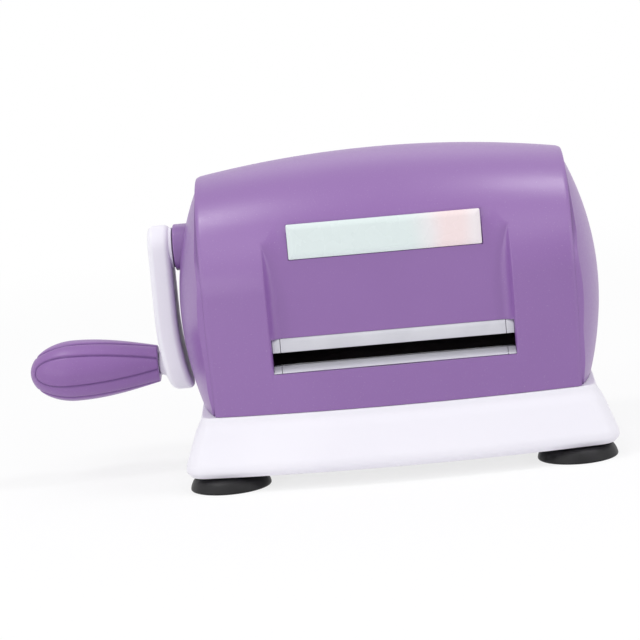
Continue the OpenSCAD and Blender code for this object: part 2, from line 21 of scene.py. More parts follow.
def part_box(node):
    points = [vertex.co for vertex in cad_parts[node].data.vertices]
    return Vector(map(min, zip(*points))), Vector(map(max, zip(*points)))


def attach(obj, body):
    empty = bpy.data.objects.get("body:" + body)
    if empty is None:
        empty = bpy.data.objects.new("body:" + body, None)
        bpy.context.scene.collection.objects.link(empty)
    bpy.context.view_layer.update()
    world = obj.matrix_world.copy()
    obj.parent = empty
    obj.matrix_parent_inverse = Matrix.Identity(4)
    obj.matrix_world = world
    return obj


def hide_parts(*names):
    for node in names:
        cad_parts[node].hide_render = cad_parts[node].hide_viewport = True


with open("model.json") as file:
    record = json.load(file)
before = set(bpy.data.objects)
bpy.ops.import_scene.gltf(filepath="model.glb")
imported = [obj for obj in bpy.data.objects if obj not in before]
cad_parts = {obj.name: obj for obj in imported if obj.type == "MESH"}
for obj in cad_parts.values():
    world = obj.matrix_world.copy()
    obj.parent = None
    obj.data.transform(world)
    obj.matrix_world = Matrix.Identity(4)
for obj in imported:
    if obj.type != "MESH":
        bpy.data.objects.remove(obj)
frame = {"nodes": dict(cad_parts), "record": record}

LOG = logging.getLogger("die_cutting_machine")
MM = 0.001
MERGE = 1e-7  # metres within which points are one
SHARP = math.radians(50)  # an edge that turns further is creased or softened
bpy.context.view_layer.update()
COVER_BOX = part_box("front_cover")
MIDDLE_X = (COVER_BOX[0][0] + COVER_BOX[1][0]) / 2

Colour = tuple[float, float, float]
Input = Union["Value", bpy.types.NodeSocket, float, Sequence[float]]


class Side(Enum):
    """Which way a piece faces from the middle."""

    LEFT = "left"
    RIGHT = "right"
    FRONT = "front"
    REAR = "rear"


class Slot(Enum):
    """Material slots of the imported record."""

    PURPLE = "purple_plastic"
    GRIP = "grip_plastic"
    WHITE = "white_plastic"
    PLATE = "bare_plate"
    SILVER = "silver_trim"
    RUBBER = "cup_rubber"
    ROLLER = "roller_coat"
    FRAME = "frame_steel"
    BRIGHT = "bright_steel"
    SPRING = "spring_steel"
    BUSH = "bush_metal"
    GEAR = "gear_plastic"


class Body(Enum):
    """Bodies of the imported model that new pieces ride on."""

    HOUSING = "housing"
    CRANK = "crank"
    GRIP = "grip"


def paint(red: int, green: int, blue: int) -> Colour:
    """Linear colour, as the sockets take it, of an 8-bit screen colour."""
    parts = [part / 255 for part in (red, green, blue)]
    return tuple(part / 12.92 if part <= 0.04045 else ((part + 0.055) / 1.055) ** 2.4 for part in parts)


# ---- shader maths ----


class Value:
    """A shader socket that takes part in Python arithmetic; each operator adds one Math node."""

    def __init__(self, graph: "Graph", socket: bpy.types.NodeSocket) -> None:
        """Wraps a socket."""
        self.graph = graph
        self.socket = socket

    def math(self, operation: str, *others: Input, swap: bool = False) -> "Value":
        """Adds a Math node.

        Args:
            operation: The node's operation, such as "ADD".
            others: The other numbers or sockets.
            swap: True puts this value second, for the reflected operators.

        Returns:
            The node's result.
        """
        terms = [self, *others]
        if swap:
            terms.reverse()
        node = self.graph.node("Math", {"operation": operation}, dict(enumerate(terms)))
        return Value(self.graph, node.outputs[0])

    def __add__(self, other: Input) -> "Value":
        """Sum."""
        return self.math("ADD", other)

    __radd__ = __add__

    def __mul__(self, other: Input) -> "Value":
        """Product."""
        return self.math("MULTIPLY", other)

    __rmul__ = __mul__

    def __sub__(self, other: Input) -> "Value":
        """Difference."""
        return self.math("SUBTRACT", other)

    def __rsub__(self, other: Input) -> "Value":
        """Difference with this value second."""
        return self.math("SUBTRACT", other, swap=True)

    def at_least(self, other: Input) -> "Value":
        """The larger of the two."""
        return self.math("MAXIMUM", other)

    def step_from(self, start: float, end: float) -> "Value":
        """Smooth step.

        Args:
            start: Value at which the result is 0.
            end: Value at which the result is 1.

        Returns:
            A number from 0 to 1.
        """
        node = self.graph.node(
            "MapRange",
            {"interpolation_type": "SMOOTHSTEP"},
            {"Value": self, "From Min": start, "From Max": end, "To Min": 0.0, "To Max": 1.0},
        )
        return Value(self.graph, node.outputs["Result"])


class Graph:
    """Node graph of one material or world."""

    def __init__(self, tree: bpy.types.NodeTree) -> None:
        """Empties a node tree and draws in it."""
        self.tree = tree
        tree.nodes.clear()

    def node(
        self, kind: str, settings: Optional[Mapping[str, Any]] = None, inputs: Optional[Mapping[Any, Input]] = None
    ) -> bpy.types.Node:
        """Adds any node.

        Args:
            kind: The node's type without "ShaderNode", such as "TexNoise".
            settings: Properties, set first.
            inputs: Values or links by socket name or number, set after the settings.

        Returns:
            The node.
        """
        node = self.tree.nodes.new("ShaderNode" + kind)
        for key, value in (settings or {}).items():
            setattr(node, key, value)
        for key, value in (inputs or {}).items():
            socket = node.inputs[key]
            if isinstance(value, Value):
                value = value.socket
            if isinstance(value, bpy.types.NodeSocket):
                self.tree.links.new(value, socket)
            elif isinstance(value, tuple) and len(value) == 3 and socket.type == "RGBA":
                socket.default_value = (*value, 1.0)
            else:
                socket.default_value = value
        return node

    def mix(self, share: Input, first: Input, second: Input) -> bpy.types.NodeSocket:
        """Mixes two colours by the share of the second."""
        node = self.node("Mix", {"data_type": "RGBA"}, {0: share, 6: first, 7: second})
        return node.outputs[2]

    def place(self) -> bpy.types.NodeSocket:
        """Object coordinates, which are metres of the shared frame."""
        return self.node("TexCoord").outputs["Object"]

    def scaled(self, vector: bpy.types.NodeSocket, scale: Colour) -> bpy.types.NodeSocket:
        """Scales a vector."""
        return self.node("VectorMath", {"operation": "MULTIPLY"}, {0: vector, 1: scale}).outputs[0]

    def noise(self, size: float, detail: float = 2.0, vector: Optional[bpy.types.NodeSocket] = None) -> Value:
        """Noise around 0.5 with features of a size in millimetres, over the object unless a vector is given."""
        inputs = {"Vector": vector or self.place(), "Scale": 1 / (size * MM), "Detail": detail, "Roughness": 0.5}
        return Value(self, self.node("TexNoise", {}, inputs).outputs["Fac"])

    def axis(self, name: str) -> Value:
        """One of the object coordinates, in millimetres about the middle of the housing.

        Args:
            name: "X", "Y" or "Z".

        Returns:
            The coordinate.
        """
        split = self.node("SeparateXYZ", {}, {0: self.place()})
        value = Value(self, split.outputs[name])
        return (value - MIDDLE_X) * 1000.0 if name == "X" else value * 1000.0

    def bump(self, height: Value, depth: float) -> bpy.types.NodeSocket:
        """Normal of a bump whose height of 1 stands for a depth in millimetres."""
        return self.node("Bump", {}, {"Height": height, "Distance": depth * MM, "Strength": 1.0}).outputs["Normal"]

    def finish(self, shader: bpy.types.NodeSocket, output: str = "OutputMaterial") -> None:
        """Connects the last shader to the output."""
        self.node(output, {}, {"Surface": shader})


@dataclass(frozen=True)
class Finish:
    """A finish: its slot and the constants of its shader."""

    slot: Slot
    colour: Colour
    shade: Colour
    roughness: float

    def inputs(self, graph: Graph) -> dict[str, Input]:
        """What goes into the shader. Each kind of finish has its own.

        Args:
            graph: The material's graph.

        Returns:
            Values and links by socket name.
        """
        raise NotImplementedError

    def material(self) -> bpy.types.Material:
        """The material, made once."""
        name = self.slot.value + "_finish"
        material = bpy.data.materials.get(name)
        if material is None:
            material = bpy.data.materials.new(name)
            material.use_nodes = True
            graph = Graph(material.node_tree)
            shader = graph.node("BsdfPrincipled", {}, self.inputs(graph))
            graph.finish(shader.outputs[0])
        return material


@dataclass(frozen=True)
class MouldedPlastic(Finish):
    """Plastic with the fine grain of a spark-eroded mould, and, for the grip, a darker colour painted into its grooves
    as shade.
    """

    grain: float = 0.45
    grain_depth: float = 0.02
    drift: float = 60.0
    groove: Optional[Colour] = None
    ior: float = 1.49

    def inputs(self, graph: Graph) -> dict[str, Input]:
        """Colour, gloss and relief of the surface.

        Args:
            graph: The material's graph.

        Returns:
            Values and links by socket name.
        """
        cloud = graph.noise(self.drift, 2.0).step_from(0.3, 0.7)
        fleck = graph.noise(self.grain, 3.0)
        colour = graph.mix(cloud, self.colour, self.shade)
        colour = graph.mix(fleck.step_from(0.62, 0.8) * 0.12, colour, (1.0, 1.0, 1.0))
        # painted shade: the colour darkens where the share stored on the mesh marks the grooves, in place of the shade
        # that falls in them
        if self.groove is not None:
            depth = graph.node("Attribute", {"attribute_name": "groove"}).outputs["Fac"]
            colour = graph.mix(depth, colour, self.groove)
        rough = self.roughness + (graph.noise(self.grain * 2.2, 2.0) - 0.5) * 0.16 + (cloud - 0.5) * 0.03
        normal = graph.bump(fleck, self.grain_depth)
        return {"Base Color": colour, "Roughness": rough, "Normal": normal, "IOR": self.ior}


@dataclass(frozen=True)
class ClearPlate(Finish):
    """Soft tint under a clear poured gloss."""

    middle: float = 7.0
    warm_over: float = 13.6
    blush: Colour = (0.9, 0.7, 0.7)
    blush_x: float = 24.0
    blush_half: tuple[float, float] = (2.0, 9.0)
    blush_share: float = 0.55
    cloud_size: float = 22.0

    def inputs(self, graph: Graph) -> dict[str, Input]:
        """Colour, gloss and relief of the surface.

        Args:
            graph: The material's graph.

        Returns:
            Values and links by socket name.
        """
        along = graph.axis("X")
        cloud = graph.noise(self.cloud_size, 1.0)
        warm = (along + (cloud - 0.5) * 8.0).step_from(self.middle, self.middle + self.warm_over)
        off = (along - self.blush_x + (cloud - 0.5) * 6.0).math("ABSOLUTE")
        glow = 1.0 - off.step_from(*self.blush_half)
        colour = graph.mix(warm, self.colour, self.shade)
        colour = graph.mix(glow * self.blush_share, colour, self.blush)
        return {
            "Base Color": colour,
            "Roughness": self.roughness + graph.noise(6.0) * 0.05,
            "Coat Weight": 1.0,
            "Coat Roughness": 0.04,
            "IOR": 1.5,
        }


@dataclass(frozen=True)
class Metal(Finish):
    """Metal with drawn or turned lines along one axis and a slow drift of its tone."""

    lines: Colour = (1.0, 1.0, 1.0)
    line_size: float = 0.25
    line_depth: float = 0.004
    metallic: float = 1.0

    def inputs(self, graph: Graph) -> dict[str, Input]:
        """Colour, gloss and relief of the surface.

        Args:
            graph: The material's graph.

        Returns:
            Values and links by socket name.
        """
        drift = graph.noise(14.0, 3.0).step_from(0.32, 0.68)
        lines = graph.noise(self.line_size, 2.0, graph.scaled(graph.place(), self.lines))
        colour = graph.mix(drift * 0.6 + (lines - 0.5) * 0.5, self.colour, self.shade)
        return {
            "Base Color": colour,
            "Metallic": self.metallic,
            "Roughness": self.roughness + (lines - 0.5) * 0.14 + drift * 0.05,
            "Normal": graph.bump(lines, self.line_depth),
        }


@dataclass(frozen=True)
class SoftRubber(Finish):
    """Satin rubber with a patchy bloom."""

    def inputs(self, graph: Graph) -> dict[str, Input]:
        """Colour, gloss and relief of the surface.

        Args:
            graph: The material's graph.

        Returns:
            Values and links by socket name.
        """
        bloom = graph.noise(5.0, 4.0).step_from(0.4, 0.75)
        grain = graph.noise(0.3, 2.0)
        return {
            "Base Color": graph.mix(bloom * 0.5 + (grain - 0.5) * 0.3, self.colour, self.shade),
            "Roughness": self.roughness + (bloom - 0.5) * 0.1,
            "Normal": graph.bump(grain, 0.012),
            "IOR": 1.38,
        }


FINISHES: dict[Slot, Finish] = {
    finish.slot: finish
    for finish in (
        MouldedPlastic(Slot.PURPLE, paint(137, 96, 163), paint(133, 92, 159), 0.35, grain_depth=0.016, ior=1.68),
        MouldedPlastic(
            # its last colour is painted shade for the grooves
            Slot.GRIP, paint(139, 99, 163), paint(135, 95, 159), 0.38, grain_depth=0.008, groove=paint(106, 68, 131)
        ),
        MouldedPlastic(Slot.WHITE, paint(238, 236, 243), paint(234, 232, 240), 0.42, grain_depth=0.01),
        MouldedPlastic(Slot.GEAR, paint(233, 230, 216), paint(226, 222, 205), 0.38, grain_depth=0.006),
        ClearPlate(Slot.PLATE, paint(219, 231, 230), paint(237, 229, 232), 0.25, blush=paint(243, 215, 213)),
        Metal(Slot.SILVER, paint(206, 206, 213), paint(192, 192, 200), 0.34, lines=(0.02, 1.0, 1.0), metallic=0.35),
        SoftRubber(Slot.RUBBER, paint(16, 15, 18), paint(32, 30, 35), 0.5),
        SoftRubber(Slot.ROLLER, paint(58, 52, 56), paint(72, 65, 68), 0.38),
        Metal(Slot.FRAME, paint(176, 178, 182), paint(156, 159, 163), 0.42, line_size=1.5),
        Metal(Slot.BRIGHT, paint(206, 208, 211), paint(186, 188, 192), 0.26, lines=(1.0, 0.1, 0.1), line_size=0.2),
        Metal(Slot.SPRING, paint(62, 62, 68), paint(45, 45, 50), 0.4),
        Metal(Slot.BUSH, paint(193, 158, 102), paint(158, 122, 72), 0.4, line_size=0.35, line_depth=0.01),
    )
}


# ---- meshes ----


def smooth_max(first: np.ndarray, second: np.ndarray, blend: float) -> np.ndarray:
    """Maximum of two, rounded over a distance, the blend, where they cross."""
    share = np.clip(0.5 + 0.5 * (first - second) / blend, 0.0, 1.0)
    return second * (1 - share) + first * share + blend * share * (1 - share)


def smooth_step(value: np.ndarray, start: float, end: float) -> np.ndarray:
    """Smooth step from 0 at start to 1 at end."""
    share = np.clip((value - start) / (end - start), 0.0, 1.0)
    return share * share * (3 - 2 * share)


def stations(*stops: tuple[float, float]) -> np.ndarray:
    """Numbers from the first stop to the last, with a spacing of their own between each two.

    Args:
        stops: Pairs of a number and the largest spacing up to the next stop.

    Returns:
        The numbers, rising.
    """
    numbers: list[float] = []
    for (start, spacing), (end, _) in zip(stops, stops[1:]):
        count = max(1, math.ceil((end - start) / spacing - 1e-6))
        numbers.extend(start + (end - start) * step / count for step in range(count))
    return np.array([*numbers, stops[-1][0]])


def in_scene(name: str, data: Any) -> bpy.types.Object:
    """Puts a new object into the scene.

    Args:
        name: Its name.
        data: Its mesh, lamp or camera data.

    Returns:
        The object.
    """
    thing = bpy.data.objects.new(name, data)
    bpy.context.scene.collection.objects.link(thing)
    return thing


@contextmanager
def draft_of(mesh: bpy.types.Mesh) -> Iterator[bmesh.types.BMesh]:
    """Opens a mesh for editing with its coinciding points joined, and writes it back.

    Args:
        mesh: The mesh.

    Yields:
        The open mesh.
    """
    draft = bmesh.new()
    draft.from_mesh(mesh)
    bmesh.ops.remove_doubles(draft, verts=draft.verts, dist=MERGE)
    yield draft
    draft.to_mesh(mesh)
    draft.free()


@dataclass
class Sketch:
    """Points and faces of one mesh, in millimetres about the middle of the housing."""

    points: list[np.ndarray] = field(default_factory=list)
    faces: list[tuple[int, ...]] = field(default_factory=list)
    count: int = 0

    def add(self, points: np.ndarray) -> np.ndarray:
        """Adds points.

        Args:
            points: An array whose last axis holds x, y and z.

        Returns:
            The points' numbers, in the shape of the array without its last axis.
        """
        flat = np.asarray(points, dtype=float).reshape(-1, 3)
        numbers = np.arange(self.count, self.count + len(flat)).reshape(np.shape(points)[:-1])
        self.points.append(flat)
        self.count += len(flat)
        return numbers

    def strip(self, first: Sequence[int], second: Sequence[int], closed: bool = True) -> None:
        """Joins two rows of points with quads.

        Args:
            first: Numbers of one row.
            second: Numbers of the other.
            closed: True joins the last pair to the first.
        """
        length = len(first)
        for i in range(length if closed else length - 1):
            j = (i + 1) % length
            self.faces.append((int(first[i]), int(first[j]), int(second[j]), int(second[i])))

    def loft(self, rows: np.ndarray) -> None:
        """Joins closed rows of points with quads, one row to the next."""
        for first, second in zip(rows, rows[1:]):
            self.strip(first, second)

    def cap(self, ring: Sequence[int]) -> None:
        """Closes a ring with one face."""
        self.faces.append(tuple(int(i) for i in ring))

    def block(self, rows: Sequence[np.ndarray]) -> None:
        """Draws a closed solid through rings of points.

        Args:
            rows: The rings, from one end to the other.
        """
        numbers = self.add(np.array(rows))
        self.loft(numbers)
        self.cap(numbers[0])
        self.cap(numbers[-1])

    def cells(self, numbers: np.ndarray, wanted: np.ndarray) -> None:
        """Fills cells of a grid of points."""
        for row, column in zip(*np.nonzero(wanted)):
            pair = numbers[row : row + 2, column : column + 2]
            self.cap((pair[0, 0], pair[0, 1], pair[1, 1], pair[1, 0]))

    def lathe(self, profile: Sequence[tuple[float, float]], centre: Colour, axis: str, turns: int = 96) -> None:
        """Turns a profile about an axis.

        Args:
            profile: Pairs of a distance along the axis and a radius. The first and last radius may be 0.
            centre: A point on the axis.
            axis: "x" or "z".
            turns: Points round the axis.
        """
        along, radius = np.array(profile, dtype=float).T
        angle = np.arange(turns) * 2 * math.pi / turns
        across = radius[:, None] * np.cos(angle)
        up = radius[:, None] * np.sin(angle)
        length = np.repeat(along[:, None], turns, axis=1)
        parts = (length, across, up) if axis == "x" else (across, up, length)
        self.loft(self.add(np.stack(parts, axis=-1) + np.array(centre)))

    def mirror(self, axis: int) -> None:
        """Mirrors everything drawn so far in X (axis 0) or Y (axis 1)."""
        for points in self.points:
            points[:, axis] *= -1

    def mesh(self, name: str) -> bpy.types.Mesh:
        """Makes the mesh, in metres of the shared frame.

        Args:
            name: The mesh's name.

        Returns:
            The mesh.
        """
        mesh = bpy.data.meshes.new(name)
        place = np.vstack(self.points) * MM + np.array([MIDDLE_X, 0.0, 0.0])
        mesh.from_pydata(place.tolist(), [], self.faces)
        return mesh

    def build(
        self,
        name: str,
        body: Body,
        slot: Slot,
        replaces: Sequence[str] = (),
        soften: float = 0.0,
        groove: Optional[np.ndarray] = None,
    ) -> bpy.types.Object:
        """Makes the object.

        Args:
            name: The piece's name.
            body: The body that it rides on.
            slot: Its material slot.
            replaces: CAD nodes that it stands for.
            soften: Width of the bevel on its sharp edges.
            groove: A number from 0 to 1 for each point, read by the finish.

        Returns:
            The object.
        """
        mesh = self.mesh(name)
        # the per-point share is the painted shade of the grooves, which the finish reads
        if groove is not None:
            values = groove.ravel().astype(np.float32)
            mesh.attributes.new("groove", "FLOAT", "POINT").data.foreach_set("value", values)
        with draft_of(mesh) as draft:
            bmesh.ops.dissolve_degenerate(draft, edges=draft.edges, dist=MERGE)
            bmesh.ops.recalc_face_normals(draft, faces=draft.faces)
            for face in draft.faces:
                face.smooth = True
            for edge in draft.edges:
                if not soften and len(edge.link_faces) == 2 and edge.calc_face_angle() > SHARP:
                    edge.smooth = False
        piece = in_scene(name, mesh)
        mesh.materials.append(FINISHES[slot].material())
        if soften:
            bevel = piece.modifiers.new("soften", "BEVEL")
            bevel.limit_method = "ANGLE"
            bevel.angle_limit = SHARP
            bevel.width = soften * MM
            bevel.segments = 2
            bevel.use_clamp_overlap = False
            bevel.harden_normals = False
        normals = piece.modifiers.new("normals", "WEIGHTED_NORMAL")
        normals.keep_sharp = True
        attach(piece, body.value)
        if replaces:
            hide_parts(*replaces)
        LOG.info("%s: %d points on body %s", name, len(mesh.vertices), body.value)
        return piece


# ---- housing ----


@dataclass(frozen=True)
class Arch:
    """Form that the covers and the side caps share: a crowned half barrel on upright walls."""

    depth: float = 92.0
    height: float = 115.0
    crown_r: float = 402.0
    half_len: float = 67.5
    end_bow_r: float = 880.0
    foot_pinch: float = 0.7
    pinch_top: float = 62.0
    wall: float = 2.4
    deck_z: float = 26.5

    @property
    def spring_z(self) -> float:
        """Height at which the walls turn into the arch."""
        return self.height - self.depth / 2

    def radius(self, x: np.ndarray) -> np.ndarray:
        """Radius of the arch at a distance from the middle."""
        return self.depth / 2 - self.crown_r + np.sqrt(self.crown_r**2 - np.square(x))

    def end_x(self, y: np.ndarray, z: np.ndarray) -> np.ndarray:
        """Distance of the bowed end of the covers from the middle. It draws in a little towards the foot."""
        bow = self.half_len - self.end_bow_r + np.sqrt(self.end_bow_r**2 - np.square(y))
        return bow - self.foot_pinch * (1 - smooth_step(z, self.deck_z, self.pinch_top)) ** 1.5


@dataclass(frozen=True)
class Cover:
    """One of the two covers: crowned arch with a recessed panel over its window."""

    side: Side
    arch: Arch = Arch()
    window_half: float = 43.4
    window_z: float = 40.8
    window_top: float = 53.0
    panel_y: float = 39.6
    ridge_x: float = 43.9
    ridge_round: float = 0.45
    cheek_power: float = 2.5
    crown_round: tuple[float, float] = (0.5, 3.4)
    crown_over: tuple[float, float] = (0.6, 6.0)
    sill_margin: float = 0.3
    split_z: float = 95.0
    end_round: float = 4.4
    end_turn: float = 26.0
    foot_gap: float = 0.12
    pocket_half: float = 34.75
    pocket_z: tuple[float, float] = (80.7, 93.7)
    pocket_y: float = 38.5
    bend_from: float = 50.0

    def columns(self) -> tuple[np.ndarray, np.ndarray]:
        """Lines along the machine, from one end to the other.

        Returns:
            Where each line is, and how far it lies below the outer skin.
        """
        turn = np.radians(np.linspace(0, self.end_turn, 6)[1:])
        flat_end = self.arch.half_len - self.end_round * math.sin(turn[-1])
        half = stations(
            (0, 3.5), (self.pocket_half, 1.0), (37.4, 0.3), (42.6, 0.16), (self.window_half, 0.125), (44.4, 0.8),
            (47.0, 2.6), (flat_end - 3, 1.5), (flat_end, 9),
        )
        round_x = flat_end + self.end_round * np.sin(turn)
        round_in = self.end_round * (1 - np.cos(turn))
        right = np.concatenate([half, round_x])
        inset = np.concatenate([np.zeros(len(half)), round_in])
        return np.concatenate([-right[:0:-1], right]), np.concatenate([inset[:0:-1], inset])

    def skin(self, inset: Union[float, np.ndarray]) -> np.ndarray:
        """Points of the cover's skin.

        Args:
            inset: Depth below the outer skin, one number or one for each column.

        Returns:
            Points by row, from the foot to the crown, and column.
        """
        nominal = self.columns()[0]
        level = stations(
            (self.arch.deck_z + self.foot_gap, 3.0), (self.window_z, 2.1), (self.window_top, 0.8), (54.6, 1.8),
            (69.0, 0.55), (self.pocket_z[0], 0.5), (self.pocket_z[1], 0.4), (self.split_z, 9),
        )[:, None]
        share = np.linspace(0, 1, 30)[1:, None]
        rise = self.split_z - self.arch.spring_z
        x = np.tile(nominal, (len(level) + len(share), 1))
        for _ in range(4):
            radius = self.arch.radius(x) - inset
            low, high = radius[: len(level)], radius[len(level):]
            wall_y = -np.sqrt(low**2 - np.square(np.clip(level - self.arch.spring_z, 0, None)))
            start = np.arcsin(rise / high)
            turn = start + (math.pi / 2 - start) * share
            y = np.vstack([wall_y, -high * np.cos(turn)])
            z = np.vstack([np.broadcast_to(level, low.shape), self.arch.spring_z + high * np.sin(turn)])
            stretch = (self.arch.end_x(y, z) - self.bend_from) / (self.arch.half_len - self.bend_from)
            bent = np.sign(nominal) * (self.bend_from + (np.abs(nominal) - self.bend_from) * stretch)
            x = np.where(np.abs(nominal) > self.bend_from, bent, nominal)
        inward = self.ridge_x + 0.4 * inset - np.abs(x)
        edge_round, mid_round = self.crown_round
        blend = edge_round + (mid_round - edge_round) * smooth_step(inward, *self.crown_over)
        depth = smooth_max(-(self.panel_y - inset) - y, np.zeros_like(y), blend)
        soft = self.ridge_round
        inward = np.where(inward > soft, inward, np.square(np.clip(inward + soft, 0, None)) / (4 * soft))
        share = np.clip(inward / np.maximum(depth, 1e-6), 0, 1)
        cove = y + depth * (1 - (1 - share) ** self.cheek_power)
        y = np.where(z > self.window_z + self.sill_margin, cove, y)
        return np.stack([x, y, z], axis=-1)

    def holes(self, outer: np.ndarray, window: bool) -> np.ndarray:
        """Cells of the grid that are left out.

        Args:
            outer: Points of the outer skin.
            window: True for the window, False for the pocket of the plate.

        Returns:
            True for each cell in the hole.
        """
        half = self.window_half if window else self.pocket_half
        low, high = (self.window_z, self.window_top) if window else self.pocket_z
        middle = (outer[:-1, :-1] + outer[1:, 1:]) / 2
        return (np.abs(middle[..., 0]) < half) & (middle[..., 2] > low) & (middle[..., 2] < high)

    def build(self) -> bpy.types.Object:
        """Draws the skins, the rims, the window and the pocket.

        Returns:
            The cover.
        """
        sketch = Sketch()
        inset = self.columns()[1]
        points = self.skin(inset), self.skin(self.arch.wall)
        outer, inner = sketch.add(points[0]), sketch.add(points[1])
        window = self.holes(points[0], True)
        pocket = self.holes(points[0], False) & (self.side is Side.FRONT)
        for numbers, hole in ((outer, window | pocket), (inner, window)):
            sketch.cells(numbers, ~hole)
        for edge in (0, -1):
            sketch.strip(outer[edge], inner[edge], closed=False)
            sketch.strip(outer[:, edge], inner[:, edge], closed=False)
        self.rim(sketch, window, outer, inner)
        if pocket.any():
            floor_points = points[0].copy()
            floor_points[..., 1] = -self.pocket_y
            rows, columns = (np.unique(part) for part in np.nonzero(pocket))
            floor = np.full(outer.shape, -1)
            block = np.ix_(range(rows[0], rows[-1] + 2), range(columns[0], columns[-1] + 2))
            floor[block] = sketch.add(floor_points[block])
            self.rim(sketch, pocket, outer, floor)
            sketch.cells(floor, pocket)
        if self.side is Side.REAR:
            sketch.mirror(1)
        name = self.side.value + "_cover"
        return sketch.build(name + "_shell", Body.HOUSING, Slot.PURPLE, [name], soften=0.07)

    @staticmethod
    def rim(sketch: Sketch, hole: np.ndarray, outer: np.ndarray, inner: np.ndarray) -> None:
        """Walls of a rectangular hole.

        Args:
            sketch: The sketch to draw in.
            hole: True for each cell in the hole.
            outer: Numbers of the outer points.
            inner: Numbers of the inner points.
        """
        rows, columns = (np.unique(part) for part in np.nonzero(hole))
        across = slice(columns[0], columns[-1] + 2)
        up = slice(rows[0], rows[-1] + 2)
        for row in (rows[0], rows[-1] + 1):
            sketch.strip(outer[row, across], inner[row, across], closed=False)
        for column in (columns[0], columns[-1] + 1):
            sketch.strip(outer[up, column], inner[up, column], closed=False)


@dataclass(frozen=True)
class SideCap:
    """Domed cap that closes one end of the housing."""

    side: Side
    arch: Arch = Arch()
    apex_x: float = 77.8
    apex_z: float = 60.5
    dome_r: float = 106.0
    plan_r: float = 90.0
    foot_plan: float = 0.36
    edge_round: float = 0.45
    seam_in: float = 0.46
    strip_slope: float = 0.42
    fit_gap: float = 0.3
    seam: float = 0.02
    hub_r: float = 8.6
    hub_x: float = 78.0
    hub_bore: float = 5.8
    hub_from: float = 70.0
    hub_soft: float = 0.6
    plan_top: float = 50.0
    proud_over: float = 0.9
    ledge_blend: float = 0.8
    tongue: float = 6.0
    crank_z: float = 84.125

    def dome(self, y: np.ndarray, z: np.ndarray) -> np.ndarray:
        """Distance of the dome from the middle of the machine.

        Args:
            y: Across the machine.
            z: Height.

        Returns:
            The distance there.
        """
        ring = self.dome_r - self.plan_r + np.sqrt(self.plan_r**2 - np.square(y))
        off = np.square(z - self.apex_z)
        middle = np.sqrt(self.dome_r**2 - off)
        low = 1 - smooth_step(z, self.arch.deck_z, self.plan_top)
        drop = (middle - np.sqrt(np.square(ring) - off)) * (1 - self.foot_plan * low)
        return self.apex_x - self.dome_r + middle - drop

    def outline(self, radius: Union[float, np.ndarray]) -> np.ndarray:
        """Outline of the arch seen from the side.

        Args:
            radius: Radius of the arch, one number or one for each point.

        Returns:
            Pairs of y and z, once round.
        """
        spring = self.arch.spring_z
        wall = stations((self.arch.deck_z, 2.4), (spring, 9))[:-1]
        turn = np.linspace(0, math.pi, 73)
        foot = np.linspace(-1, 1, 28)[1:-1]
        unit_y = np.concatenate([np.ones(len(wall)), np.cos(turn), -np.ones(len(wall)), foot])
        arch_z = np.concatenate([np.zeros(len(wall)), np.sin(turn), np.zeros(len(wall) + len(foot))])
        base_z = np.concatenate([wall, np.full(len(turn), spring), wall[::-1], np.full(len(foot), self.arch.deck_z)])
        return np.stack([unit_y * radius, base_z + arch_z * radius], axis=-1)

    def build(self) -> bpy.types.Object:
        """Draws the dome, its skirt and, on the left, the hub of the crank.

        Returns:
            The cap.
        """
        sketch = Sketch()
        full = self.outline(float(self.arch.radius(self.arch.half_len)))
        end_x = self.arch.end_x(*full.T)
        seam_r = self.arch.radius(end_x) - self.seam_in
        inner_r = float(np.min(seam_r)) - self.arch.wall - self.fit_gap
        above = self.dome(*full.T) - end_x
        proud = smooth_step(above, 0.0, self.proud_over)
        crease_r = seam_r - self.strip_slope * np.clip(above, 0, None)
        edge = self.outline(inner_r + (crease_r - inner_r) * proud)
        joint = self.outline(inner_r + (seam_r - inner_r) * proud)
        inner = self.outline(inner_r - 0.04)
        for ring in (edge, joint, inner):
            ring[:, 1] = np.maximum(ring[:, 1], self.arch.deck_z + self.seam)
        middle = np.array([0.0, self.apex_z])
        share = np.concatenate([np.linspace(0, 0.9, 22)[1:], [0.93, 0.955, 0.972, 0.983, 0.991, 0.9965, 1.0]])
        distance = np.linalg.norm(edge - middle, axis=1)
        rows = []
        for part in share:
            flat = middle + (edge - middle) * part
            depth = distance * (1 - part)
            inside = np.clip(self.edge_round - depth, 0, None)
            drop = self.edge_round - np.sqrt(self.edge_round**2 - np.square(inside))
            ledge = self.arch.end_x(*flat.T) - self.seam
            x = smooth_max(self.dome(*flat.T), ledge, self.ledge_blend) - drop * proud
            rows.append(np.column_stack([x, flat]))
        skirt_x = np.minimum(self.arch.end_x(*joint.T) + self.seam, rows[-1][:, 0] - 0.02)
        for x, ring in ((skirt_x, joint), (skirt_x - 0.01, inner), (self.arch.end_x(*inner.T) - self.tongue, inner)):
            rows.append(np.column_stack([x, ring]))
        sketch.block(rows)
        if self.side is Side.LEFT:
            self.hub(sketch)
            sketch.mirror(0)
        name = self.side.value + "_side_cap"
        return sketch.build(name + "_shell", Body.HOUSING, Slot.PURPLE, [name])

    def hub(self, sketch: Sketch) -> None:
        """Draws the hub round the crank shaft.

        Args:
            sketch: The sketch to draw in.
        """
        turn = np.radians(np.linspace(0, 90, 5))
        soft, start = self.hub_soft, self.hub_from
        rounded = [(self.hub_x - soft + soft * math.sin(a), self.hub_r - soft + soft * math.cos(a)) for a in turn]
        inner = [(start, self.hub_bore), (start, self.hub_r)]
        profile = [*inner, *rounded, (self.hub_x, self.hub_bore), inner[0]]
        sketch.lathe(profile, (0.0, 0.0, self.crank_z), "x")


